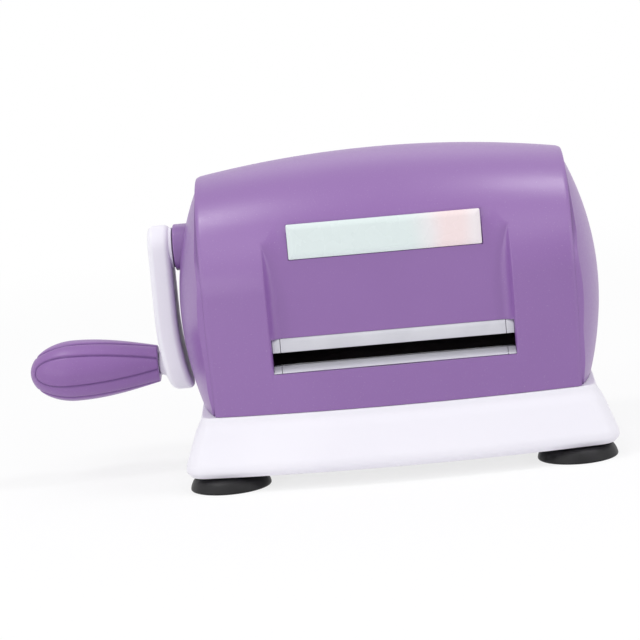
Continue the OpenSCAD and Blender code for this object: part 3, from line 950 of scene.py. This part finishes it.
@dataclass(frozen=True)
class NamePlate:
    """Bare plate under a clear poured gloss, in its pocket over the window."""

    half_w: float = 34.45
    half_h: float = 6.25
    shift: float = -0.15
    middle_z: float = 87.2
    back_y: float = 38.5
    edge_y: float = 39.7
    face_y: float = 40.5
    corner: float = 0.5
    bevel: float = 2.4

    def ring(self, inset: float) -> np.ndarray:
        """Rounded rectangle.

        Args:
            inset: Distance inside the plate's outline.

        Returns:
            Pairs of x and z, once round.
        """
        radius = max(self.corner - inset, 0.02 * (3 - inset / self.bevel))
        turn = np.radians(np.arange(0, 360, 15).reshape(4, 6) + np.linspace(0, 15, 6))
        sign = np.array([[1, 1], [-1, 1], [-1, -1], [1, -1]])[:, None, :]
        middle = sign * np.array([self.half_w - inset - radius, self.half_h - inset - radius])
        arc = middle + radius * np.stack([np.cos(turn), np.sin(turn)], axis=-1)
        return arc.reshape(-1, 2) + [self.shift, 0.0]

    def build(self) -> bpy.types.Object:
        """Draws the plate.

        Returns:
            The plate.
        """
        sketch = Sketch()
        steps = np.linspace(0, 1, 9)
        rows = [(0.0, self.back_y), (0.0, self.edge_y)]
        rows += [(self.bevel * s, self.edge_y + (self.face_y - self.edge_y) * (1 - (1 - s) ** 2.2)) for s in steps[1:]]
        rings = []
        for inset, depth in rows:
            flat = self.ring(inset)
            rings.append(np.column_stack([flat[:, 0], np.full(len(flat), -depth), self.middle_z + flat[:, 1]]))
        sketch.block(rings)
        return sketch.build("plate_over_slot", Body.HOUSING, Slot.PLATE, ["nameplate"])


@dataclass(frozen=True)
class SlotTrim:
    """Bright liner of one slot: a chamfered lip over it and a ramp under it, each with a joint near both ends."""

    side: Side
    half: float = 43.28
    passage_half: float = 40.4
    passage_z: tuple[float, float] = (41.5, 48.0)
    foot_z: float = 40.9
    top_z: float = 52.95
    lip_y: float = 40.5
    chamfer: float = 1.5
    sill_y: float = 43.4
    throat_y: float = 28.0
    ramp: tuple[tuple[float, float], tuple[float, float]] = ((40.8, 43.2), (36.0, 42.6))
    joint: float = 0.08

    @staticmethod
    def prism(sketch: Sketch, profile: Sequence[tuple[float, float]], start: float, end: float) -> None:
        """Draws a straight bar along the machine from a profile of y and z."""
        ring = np.array(profile, dtype=float)
        sketch.block([np.column_stack([np.full(len(ring), x), ring]) for x in (start, end)])

    def build(self) -> bpy.types.Object:
        """Draws the liner.

        Returns:
            The liner.
        """
        sketch = Sketch()
        low, high = self.passage_z
        lip = [
            (-self.lip_y, high), (-self.lip_y, self.top_z - self.chamfer), (-self.lip_y + 1.1, self.top_z),
            (-36.4, self.top_z), (-self.throat_y, high + 1.8), (-self.throat_y, high),
        ]
        ramp = [
            (-self.sill_y, self.foot_z), (-self.sill_y, self.foot_z + 0.25), (-self.ramp[0][0], self.ramp[0][1]),
            (-self.ramp[1][0], self.ramp[1][1]), (-self.throat_y, low), (-self.throat_y, self.foot_z),
        ]
        wide, narrow = self.half, self.passage_half
        for profile in (lip, ramp):
            self.prism(sketch, profile, -narrow + self.joint, narrow - self.joint)
            for sign in (-1, 1):
                self.prism(sketch, profile, sign * (narrow + self.joint), sign * wide)
        if self.side is Side.REAR:
            sketch.mirror(1)
        name = self.side.value + "_slot_trim"
        return sketch.build(name + "_liner", Body.HOUSING, Slot.SILVER, [name], soften=0.1)


# ---- base ----


@dataclass(frozen=True)
class Base:
    """Flared tray under the housing."""

    arch: Arch = Arch()
    half_w: float = 72.3
    foot_z: float = 5.4
    deck_z: float = 26.5
    flare: float = 6.4
    wall: float = 2.4
    deck: float = 2.5
    lip: float = 0.25
    waist: float = 1.7
    waist_half_y: float = 36.0
    hole: tuple[float, float, float, float] = (-63.0, 56.5, -18.4, 18.4)
    # share of the height, share of the flare, corner radius, radius of the ends' bow
    levels: tuple[tuple[float, float, float, float], ...] = (
        (0.0, 0.72, 7.0, 2000.0), (0.09, 1.0, 8.0, 2000.0), (0.2, 0.97, 8.0, 2000.0),
        (0.76, 0.28, 7.0, 2000.0), (0.89, 0.06, 5.5, 900.0), (1.0, 0.0, 5.0, 480.0),
    )

    def plan(self, grow: float, corner: float, bow_r: float, waist: float = 0.0) -> np.ndarray:
        """Outline of the tray seen from above.

        Args:
            grow: How far it stands out past the deck.
            corner: Radius of its corners.
            bow_r: Radius of the bow of its ends.
            waist: How far the middle of each end draws in.

        Returns:
            Pairs of x and y, once round.
        """
        front_r = self.arch.crown_r + 0.1 + grow
        side_r = bow_r + grow
        front_c = self.arch.crown_r - self.arch.depth / 2
        side_c = bow_r - self.half_w
        reach_front, reach_side = front_r - corner, side_r - corner
        gap = math.hypot(front_c, side_c)
        along = (reach_front**2 - reach_side**2 + gap**2) / (2 * gap)
        off = math.sqrt(reach_front**2 - along**2)
        start = np.array([0.0, -front_c])
        unit = np.array([-side_c, front_c]) / gap
        normal = np.array([-unit[1], unit[0]])
        ends = [start + unit * along + normal * off * s for s in (-1, 1)]
        middle = max(ends, key=lambda end: end[0])
        front_turn = math.atan2(middle[1] + front_c, middle[0])
        side_turn = math.atan2(middle[1], middle[0] + side_c)
        side = np.linspace(0, side_turn, 14)[:-1]
        bend = np.linspace(side_turn, front_turn, 12)
        front = np.linspace(front_turn, math.pi / 2, 26)[1:]
        quarter = np.concatenate([
            np.column_stack([side_r * np.cos(side) - side_c, side_r * np.sin(side)]),
            middle + corner * np.column_stack([np.cos(bend), np.sin(bend)]),
            np.column_stack([front_r * np.cos(front), front_r * np.sin(front) - front_c]),
        ])
        drawn_in = (1 - smooth_step(quarter[:, 1], 0.0, self.waist_half_y)) * (quarter[:, 0] > 0.8 * self.half_w)
        quarter[:, 0] -= waist * drawn_in
        back = quarter[::-1][1:] * [-1, 1]
        half = np.concatenate([quarter, back])
        return np.concatenate([half, half[::-1][1:-1] * [1, -1]])

    @staticmethod
    def level(plan: np.ndarray, height: float) -> np.ndarray:
        """Lifts an outline to a height."""
        return np.column_stack([plan, np.full(len(plan), height)])

    def profile(self) -> np.ndarray:
        """Levels of the outside, smoothed.

        Returns:
            Rows of height, growth, corner radius, radius of the ends' bow and waist, from the foot to the deck.
        """
        knots = np.array(self.levels)
        share = np.linspace(0, 1, 49)
        columns = [np.interp(share, knots[:, 0], knots[:, column]) for column in (1, 2, 3)]
        weight = np.array([1, 3, 4, 3, 1]) / 12
        grow, corner, bow_r = (np.convolve(np.pad(column, 2, mode="edge"), weight, mode="valid") for column in columns)
        waist = self.waist * smooth_step(share, 0.2, 0.55) * (1 - smooth_step(share, 0.8, 1.0))
        height = self.foot_z + share * (self.deck_z - self.foot_z)
        return np.column_stack([height, grow * self.flare, corner, bow_r, waist])

    def build(self) -> bpy.types.Object:
        """Draws the tray.

        Returns:
            The tray.
        """
        sketch = Sketch()
        rows = [self.level(self.plan(*shape), height) for height, *shape in self.profile()]
        top = self.plan(-self.lip, *self.levels[-1][2:])
        rows[-1][:, 2] -= self.lip
        rows.append(self.level(top, self.deck_z))
        outer = sketch.add(np.array(rows))
        sketch.loft(outer)
        low_x, high_x, low_y, high_y = self.hole
        centre = np.array([(low_x + high_x) / 2, (low_y + high_y) / 2])
        size = np.array([(high_x - low_x) / 2, (high_y - low_y) / 2])
        reach = (top - centre) / size
        hole = centre + (top - centre) / np.abs(reach).max(axis=1)[:, None]
        under = self.deck_z - self.deck
        inner_rows = [self.level(hole, z) for z in (self.deck_z, under)]
        for share in (0.9, 0.6, 0.3, 0.0):
            height = self.foot_z + share * (under - self.foot_z)
            grow = float(np.interp(height, *self.profile()[:, :2].T)) - self.wall
            inner_rows.append(self.level(self.plan(grow, self.levels[-1][2], self.levels[0][3], self.waist), height))
        inner = sketch.add(np.array(inner_rows))
        sketch.strip(outer[-1], inner[0])
        sketch.loft(inner)
        sketch.strip(inner[-1], outer[0])
        return sketch.build("base_tray", Body.HOUSING, Slot.WHITE, ["base"], soften=0.2)


CUP_X, CUP_Y = 63.0, 35.0


@dataclass(frozen=True)
class SuctionCup:
    """Rubber cup on a stem that buttons into the base plate."""

    name: str
    x: float
    y: float
    rim_r: float = 14.6
    stem_r: float = 3.9
    head_z: float = 8.1
    neck_z: float = 5.05

    def build(self) -> bpy.types.Object:
        """Draws the cup.

        Returns:
            The cup.
        """
        rim, stem, neck, head = self.rim_r, self.stem_r, self.neck_z, self.head_z
        profile = [
            (3.1, 0.0), (3.1, rim - 8), (2.8, rim - 4.6), (2.2, rim - 3.0), (1.2, rim - 1.9), (0.3, rim - 1.2),
            (0.05, rim - 0.9), (0.0, rim - 0.5), (0.08, rim - 0.15), (0.3, rim), (0.6, rim), (0.9, rim - 0.06),
            (1.4, rim - 0.2), (2.0, rim - 0.42), (2.6, rim - 0.7), (3.2, rim - 1.05), (3.8, rim - 1.55),
            (4.35, rim - 2.3), (4.7, rim - 3.1), (4.92, rim - 4.2), (neck, rim - 5.6), (neck, stem + 0.3),
            (neck + 0.2, stem), (head, stem), (head, stem + 1.8),
            (head + 0.8, stem + 1.7), (head + 2.0, stem + 0.9), (head + 3.0, stem - 1.4), (head + 3.0, 0.0),
        ]
        sketch = Sketch()
        sketch.lathe(profile, (self.x, self.y, 0.0), "z", 120)
        return sketch.build(self.name + "_bell", Body.HOUSING, Slot.RUBBER, [self.name])


# ---- crank ----


@dataclass(frozen=True)
class CrankArm:
    """Arm that stands beside the hub and bends round the dome down to the grip."""

    crank_z: float = 84.125
    throw: float = 43.0
    top_r: float = 8.7
    foot_r: float = 10.2
    thickness: float = 8.2
    inner_x: float = 79.2
    bend_r: float = 107.4
    bend_z: float = 60.5
    edge: float = 2.3
    hub_r: float = 7.6
    hub_x: float = 78.4
    collar_x: float = 87.77
    collar_r: float = 4.4
    recess_r: float = 5.2
    recess: float = 2.2
    recess_crease: float = 40.0
    top_points: int = 29
    side_points: int = 22
    foot_points: int = 33

    def outline(self, inset: float) -> np.ndarray:
        """Outline of the arm seen from the side.

        Args:
            inset: Distance inside the outline.

        Returns:
            Pairs of y and z, once round.
        """
        lean = math.asin((self.foot_r - self.top_r) / self.throw)
        top = np.linspace(lean, math.pi - lean, self.top_points)
        foot = np.linspace(math.pi - lean, 2 * math.pi + lean, self.foot_points)
        top_arc = (self.top_r - inset) * np.column_stack([np.cos(top), np.sin(top)])
        foot_arc = (self.foot_r - inset) * np.column_stack([np.cos(foot), np.sin(foot)]) - [0, self.throw]
        share = np.linspace(0, 1, self.side_points + 2)[1:-1, None]
        down = top_arc[-1] + (foot_arc[0] - top_arc[-1]) * share
        up = foot_arc[-1] + (top_arc[0] - foot_arc[-1]) * share
        return np.concatenate([top_arc, down, foot_arc, up]) + [0, self.crank_z]

    def bent(self, flat: np.ndarray, rise: float) -> np.ndarray:
        """Bends points of the outline round the dome.

        Args:
            flat: Pairs of y and z.
            rise: Distance from the arm's inner face.

        Returns:
            Points.
        """
        radius = self.bend_r + rise
        below = np.clip(self.bend_z - flat[:, 1], 0, None)
        x = self.inner_x - self.bend_r + np.sqrt(radius**2 - np.square(below))
        return np.column_stack([-x, flat])

    def build(self) -> bpy.types.Object:
        """Draws the arm with its boss and collar, and sinks the recess of its screw.

        Returns:
            The arm.
        """
        sketch = Sketch()
        turn = np.radians(np.linspace(0, 90, 7))
        insets = (8.3, 6.0, 4.0)
        rows = [self.bent(self.outline(inset), 0.0) for inset in insets]
        rows += [self.bent(self.outline(self.edge * (1 - math.sin(a))), self.edge * (1 - math.cos(a))) for a in turn]
        rows += [
            self.bent(self.outline(self.edge * (1 - math.cos(a))), self.thickness - self.edge * (1 - math.sin(a)))
            for a in turn
        ]
        rows += [self.bent(self.outline(inset), self.thickness) for inset in insets[::-1]]
        numbers = sketch.add(np.array(rows))
        sketch.loft(numbers)
        top, foot = self.top_points, self.top_points + self.side_points
        end = foot + self.foot_points
        for row in (numbers[0], numbers[-1]):
            sketch.strip(row[top - 1 : foot + 1], np.concatenate([row[:1], row[: end - 2 : -1]]), closed=False)
            sketch.cap(row[:top])
            sketch.cap(row[foot:end])
        piece = sketch.build("crank_arm_moulding", Body.CRANK, Slot.WHITE, ["crank_arm"])
        self.sink(piece)
        boss = Sketch()
        hub_x, hub_r, collar_x, collar = self.hub_x, self.hub_r, self.collar_x, self.collar_r
        root = self.inner_x + 2
        hub = [(hub_x, 0.0), (hub_x, hub_r - 0.3), (hub_x + 0.3, hub_r), (root, hub_r), (root, 0.0)]
        boss.lathe(hub, (0.0, 0.0, self.crank_z), "x")
        neck = [
            (84.0, 0.0), (84.0, collar + 1.0), (85.5, collar + 0.7), (86.3, collar + 0.15), (86.8, collar),
            (collar_x - 0.3, collar), (collar_x, collar - 0.3), (collar_x, 0.0),
        ]
        boss.lathe(neck, (0.0, 0.0, self.crank_z - self.throw), "x")
        boss.mirror(0)
        boss.build("crank_arm_bosses", Body.CRANK, Slot.WHITE)
        return piece

    def sink(self, piece: bpy.types.Object) -> None:
        """Cuts the round recess of the crank screw.

        Args:
            piece: The arm.
        """
        tool = Sketch()
        face = self.inner_x + self.thickness
        floor = face - self.recess
        profile = [(floor, 0.0), (floor, self.recess_r), (face + 1, self.recess_r), (face + 1, 0.0)]
        tool.lathe(profile, (0.0, 0.0, self.crank_z), "x", 64)
        tool.mirror(0)
        mesh = tool.mesh("recess_tool")
        with draft_of(mesh) as draft:
            bmesh.ops.recalc_face_normals(draft, faces=draft.faces)
        cutter = in_scene("recess_tool", mesh)
        cut = piece.modifiers.new("recess", "BOOLEAN")
        cut.operation = "DIFFERENCE"
        cut.solver = "EXACT"
        cut.object = cutter
        piece.modifiers.move(len(piece.modifiers) - 1, 0)
        evaluated = piece.evaluated_get(bpy.context.evaluated_depsgraph_get())
        result = bpy.data.meshes.new_from_object(evaluated)
        piece.modifiers.clear()
        piece.data = result
        bpy.data.objects.remove(cutter)
        for polygon in result.polygons:
            polygon.use_smooth = True
        result.set_sharp_from_angle(angle=math.radians(self.recess_crease))


@dataclass(frozen=True)
class Grip:
    """Swelling grip with long loop grooves that open towards the arm."""

    start_x: float = 88.07
    axis_z: float = 41.125
    length: float = 48.3
    radius: float = 11.35
    neck_r: float = 6.8
    swell: float = 0.65
    bore_r: float = 3.04
    loops: int = 4
    loop_turn: float = -8.0
    neck_half: float = 2.1
    wide_half: float = 5.9
    wide_at: float = 34.0
    loop_end: float = 47.5
    groove_depth: float = 0.5
    groove_half: float = 0.42
    row_count: int = 190
    column_count: int = 288

    def profile(self) -> np.ndarray:
        """Profile of the grip, evenly spaced along its surface.

        Returns:
            Rows of distance from the neck, radius and distance along the surface.
        """
        share = np.concatenate([
            np.linspace(0, self.swell, 400)[:-1],
            self.swell + (1 - self.swell) * np.sin(np.linspace(0, math.pi / 2, 400)),
        ])
        body = self.neck_r + (self.radius - self.neck_r) * np.sin(math.pi / 2 * np.clip(share / self.swell, 0, 1))
        beyond = np.clip(share - self.swell, 0, None) / (1 - self.swell)
        end = self.radius * np.sqrt(np.clip(1 - np.square(beyond), 0, 1))
        radius = np.where(share < self.swell, body, end)
        along = share * self.length
        walked = np.concatenate([[0], np.cumsum(np.hypot(np.diff(along), np.diff(radius)))])
        even = np.linspace(0, walked[-1], self.row_count)
        return np.column_stack([np.interp(even, walked, along), np.interp(even, walked, radius), even])

    def loop(self) -> np.ndarray:
        """Line of one loop: distance along the surface and distance to the side.

        Returns:
            Pairs, from the neck round the end and back.
        """
        straight = np.linspace(0, self.wide_at, 40)
        half = self.neck_half + (self.wide_half - self.neck_half) * np.sin(math.pi / 2 * straight / self.wide_at) ** 0.9
        turn = np.linspace(math.pi / 2, -math.pi / 2, 40)
        end = self.loop_end - self.wide_at
        around = np.column_stack([self.wide_at + end * np.cos(turn), self.wide_half * np.sin(turn)])
        upper = np.column_stack([straight, half])
        return np.concatenate([upper, around[1:-1], upper[::-1] * [1, -1]])

    def depth(self, walked: np.ndarray, radius: np.ndarray, angle: np.ndarray) -> np.ndarray:
        """How deep the grooves are, from 0 to 1.

        Args:
            walked: Distance along the surface, by row.
            radius: Radius, by row.
            angle: Angle round the grip, by column.

        Returns:
            Depth by row and column.
        """
        line = self.loop()
        pitch = 2 * math.pi / self.loops
        off = (angle - math.radians(180 + self.loop_turn) + pitch / 2) % pitch - pitch / 2
        place = np.stack(np.broadcast_arrays(walked[:, None], radius[:, None] * off[None, :]), axis=-1)
        nearest = np.full(place.shape[:2], 1e9)
        for start, end in zip(line, line[1:]):
            step = end - start
            share = np.clip(((place - start) @ step) / (step @ step), 0, 1)
            nearest = np.minimum(nearest, np.linalg.norm(place - start - share[..., None] * step, axis=-1))
        return np.exp(-np.square(nearest / self.groove_half))

    def build(self) -> bpy.types.Object:
        """Draws the grip.

        Returns:
            The grip.
        """
        sketch = Sketch()
        along, radius, walked = self.profile().T
        columns = self.column_count
        angle = np.arange(columns) * 2 * math.pi / columns
        cut = self.depth(walked, radius, angle)
        fade = smooth_step(radius, 1.0, 4.0)[:, None]
        bulge = radius[:, None] - self.groove_depth * cut * fade
        bulge[-1] = 0.0
        rows = np.stack([
            -(self.start_x + np.repeat(along[:, None], columns, axis=1)),
            bulge * np.cos(angle),
            self.axis_z + bulge * np.sin(angle),
        ], axis=-1)
        neck = self.neck_r
        ends = [
            np.column_stack([np.full(columns, -x), r * np.cos(angle), self.axis_z + r * np.sin(angle)])
            for x, r in (
                (self.start_x + 3.0, self.bore_r), (self.start_x, self.bore_r), (self.start_x, neck - 0.45),
                (self.start_x + 0.12, neck - 0.12),
            )
        ]
        rows[0, :, 0] -= 0.4
        numbers = sketch.add(np.concatenate([np.array(ends), rows]))
        sketch.loft(numbers)
        sketch.cap(numbers[0])
        # painted shade: the cut of the grooves, faded as the relief is, darkens the colour there
        tone = np.concatenate([np.zeros((len(ends), columns)), cut * fade])
        return sketch.build("grip_moulding", Body.GRIP, Slot.GRIP, ["grip"], groove=tone)


# ---- pieces that keep their shape ----


@dataclass(frozen=True)
class CarriedParts:
    """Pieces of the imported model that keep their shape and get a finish."""

    record: Mapping[str, Any]

    def dress(self, nodes: Mapping[str, bpy.types.Object]) -> None:
        """Gives each node the finish of its slot.

        Args:
            nodes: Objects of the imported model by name.
        """
        for subpart in self.record["subparts"]:
            piece = nodes[subpart["node"]]
            finish = FINISHES[Slot(subpart["material_slot"])]
            if not piece.material_slots:
                piece.data.materials.append(None)
            for slot in piece.material_slots:
                slot.material = finish.material()
            LOG.info("%s: finish %s", subpart["node"], finish.slot.value)


# ---- studio ----


AIM: Colour = (0.02, 0.0, 0.07)


@dataclass(frozen=True)
class Lamp:
    """A soft box."""

    name: str
    place: Colour
    aim: Colour
    size: tuple[float, float]
    power: float

    def build(self) -> None:
        """Hangs the lamp."""
        data = bpy.data.lights.new(self.name, "AREA")
        data.shape = "RECTANGLE"
        data.size, data.size_y = self.size
        data.energy = self.power
        lamp = in_scene(self.name, data)
        lamp.location = self.place
        lamp.rotation_mode = "QUATERNION"
        lamp.rotation_quaternion = (Vector(self.aim) - Vector(self.place)).to_track_quat("-Z", "Y")


@dataclass(frozen=True)
class Studio:
    """Pale floor, soft light and the camera."""

    floor_r: float = 4.0
    floor_glow: tuple[float, float] = (0.76, 1.0)
    floor_fade: tuple[float, float] = (0.22, 0.7)
    sky: float = 0.56
    camera_place: Colour = (0.0, -0.84, 0.1867)
    pitch: float = 9.1
    roll: float = 5.0
    lens: float = 128.0
    shift: tuple[float, float] = (-0.1112, -0.0098)
    lamps: tuple[Lamp, ...] = (
        Lamp("front_left", (-0.49, -0.89, 0.87), AIM, (0.6, 0.6), 1.2),
        Lamp("front_right", (0.53, -0.89, 0.87), AIM, (0.6, 0.6), 1.15),
        Lamp("fill", (-0.7, -1.1, 0.22), (-0.04, 0.0, 0.06), (0.7, 0.3), 1.3),
        Lamp("top_left", (-0.55, -0.2, 1.22), (0.0, 0.0, 0.07), (0.25, 0.42), 3.6),
        Lamp("top_right", (0.56, -0.06, 1.24), (0.04, 0.0, 0.07), (0.25, 0.42), 3.6),
        Lamp("side_left", (-1.1, -0.6, 0.45), AIM, (0.1, 0.9), 1.3),
        Lamp("side_right", (1.1, -0.6, 0.45), AIM, (0.1, 0.9), 1.5),
        Lamp("back", (0.02, 0.92, 0.99), AIM, (0.6, 0.6), 0.6),
    )

    def seen_directly(self, graph: Graph) -> Value:
        """1 for camera, mirror and glass rays, and 0 for the rays that light things.

        Args:
            graph: The graph to draw in.

        Returns:
            The mask.
        """
        path = graph.node("LightPath")
        camera = Value(graph, path.outputs["Is Camera Ray"])
        mirror = Value(graph, path.outputs["Is Glossy Ray"])
        return camera.at_least(mirror).at_least(path.outputs["Is Transmission Ray"])

    def world(self) -> None:
        """White surroundings."""
        world = bpy.data.worlds.new("studio")
        bpy.context.scene.world = world
        world.use_nodes = True
        graph = Graph(world.node_tree)
        strength = self.sky + self.seen_directly(graph) * (1.0 - self.sky)
        sky = graph.node("Background", {}, {"Color": (1.0, 1.0, 1.0), "Strength": strength})
        graph.finish(sky.outputs[0], "OutputWorld")

    def floor(self) -> None:
        """White floor that keeps a soft shadow near the machine."""
        sketch = Sketch()
        radii = (0.0, 0.15, 0.3, 0.6, 1.2, 2.4, self.floor_r)
        sketch.lathe([(0.0, radius / MM) for radius in radii], (0.0, 0.0, 0.0), "z", 64)
        mesh = sketch.mesh("floor")
        with draft_of(mesh) as draft:
            LOG.info("floor: %d points", len(draft.verts))
        floor = in_scene("floor", mesh)
        material = bpy.data.materials.new("floor")
        material.use_nodes = True
        graph = Graph(material.node_tree)
        away = graph.node("VectorMath", {"operation": "LENGTH"}, {0: graph.place()}).outputs["Value"]
        fade = Value(graph, away).step_from(*self.floor_fade)
        matt = graph.node("BsdfDiffuse", {}, {"Color": (0.92, 0.92, 0.93)})
        glow = graph.node("Emission", {}, {"Color": (1.0, 1.0, 1.0), "Strength": 1.0})
        near, far = self.floor_glow
        share = self.seen_directly(graph) * (near + fade * (far - near))
        mixed = graph.node("MixShader", {}, {0: share, 1: matt.outputs[0], 2: glow.outputs[0]})
        graph.finish(mixed.outputs[0])
        mesh.materials.append(material)

    def camera(self) -> None:
        """Camera in front of the machine, a little above it and turned about its own axis."""
        data = bpy.data.cameras.new("camera")
        data.lens = self.lens
        data.sensor_width = 36.0
        data.shift_x, data.shift_y = self.shift
        data.clip_start = 0.01
        camera = in_scene("camera", data)
        x, y, z = self.camera_place
        tilt = Matrix.Rotation(math.radians(90 - self.pitch), 4, "X")
        turn = tilt @ Matrix.Rotation(math.radians(-self.roll), 4, "Z")
        camera.matrix_world = Matrix.Translation((MIDDLE_X + x, y, z)) @ turn
        bpy.context.scene.camera = camera

    def build(self) -> None:
        """Sets up the whole studio."""
        self.world()
        self.floor()
        for lamp in self.lamps:
            lamp.build()
        self.camera()
        bpy.context.scene.view_settings.view_transform = "Standard"


def main() -> None:
    """Builds the machine round its frame, then the studio."""
    logging.basicConfig(level=logging.INFO, format="%(message)s")
    CarriedParts(frame["record"]).dress(frame["nodes"])
    for side in (Side.FRONT, Side.REAR):
        Cover(side).build()
        SlotTrim(side).build()
    for side in (Side.LEFT, Side.RIGHT):
        SideCap(side).build()
    NamePlate().build()
    Base().build()
    for row, y in ((Side.FRONT, -CUP_Y), (Side.REAR, CUP_Y)):
        for end, x in ((Side.LEFT, -CUP_X), (Side.RIGHT, CUP_X)):
            SuctionCup(f"{row.value}_{end.value}_cup", x, y).build()
    CrankArm().build()
    Grip().build()
    Studio().build()


if __name__ == "__main__":
    main()
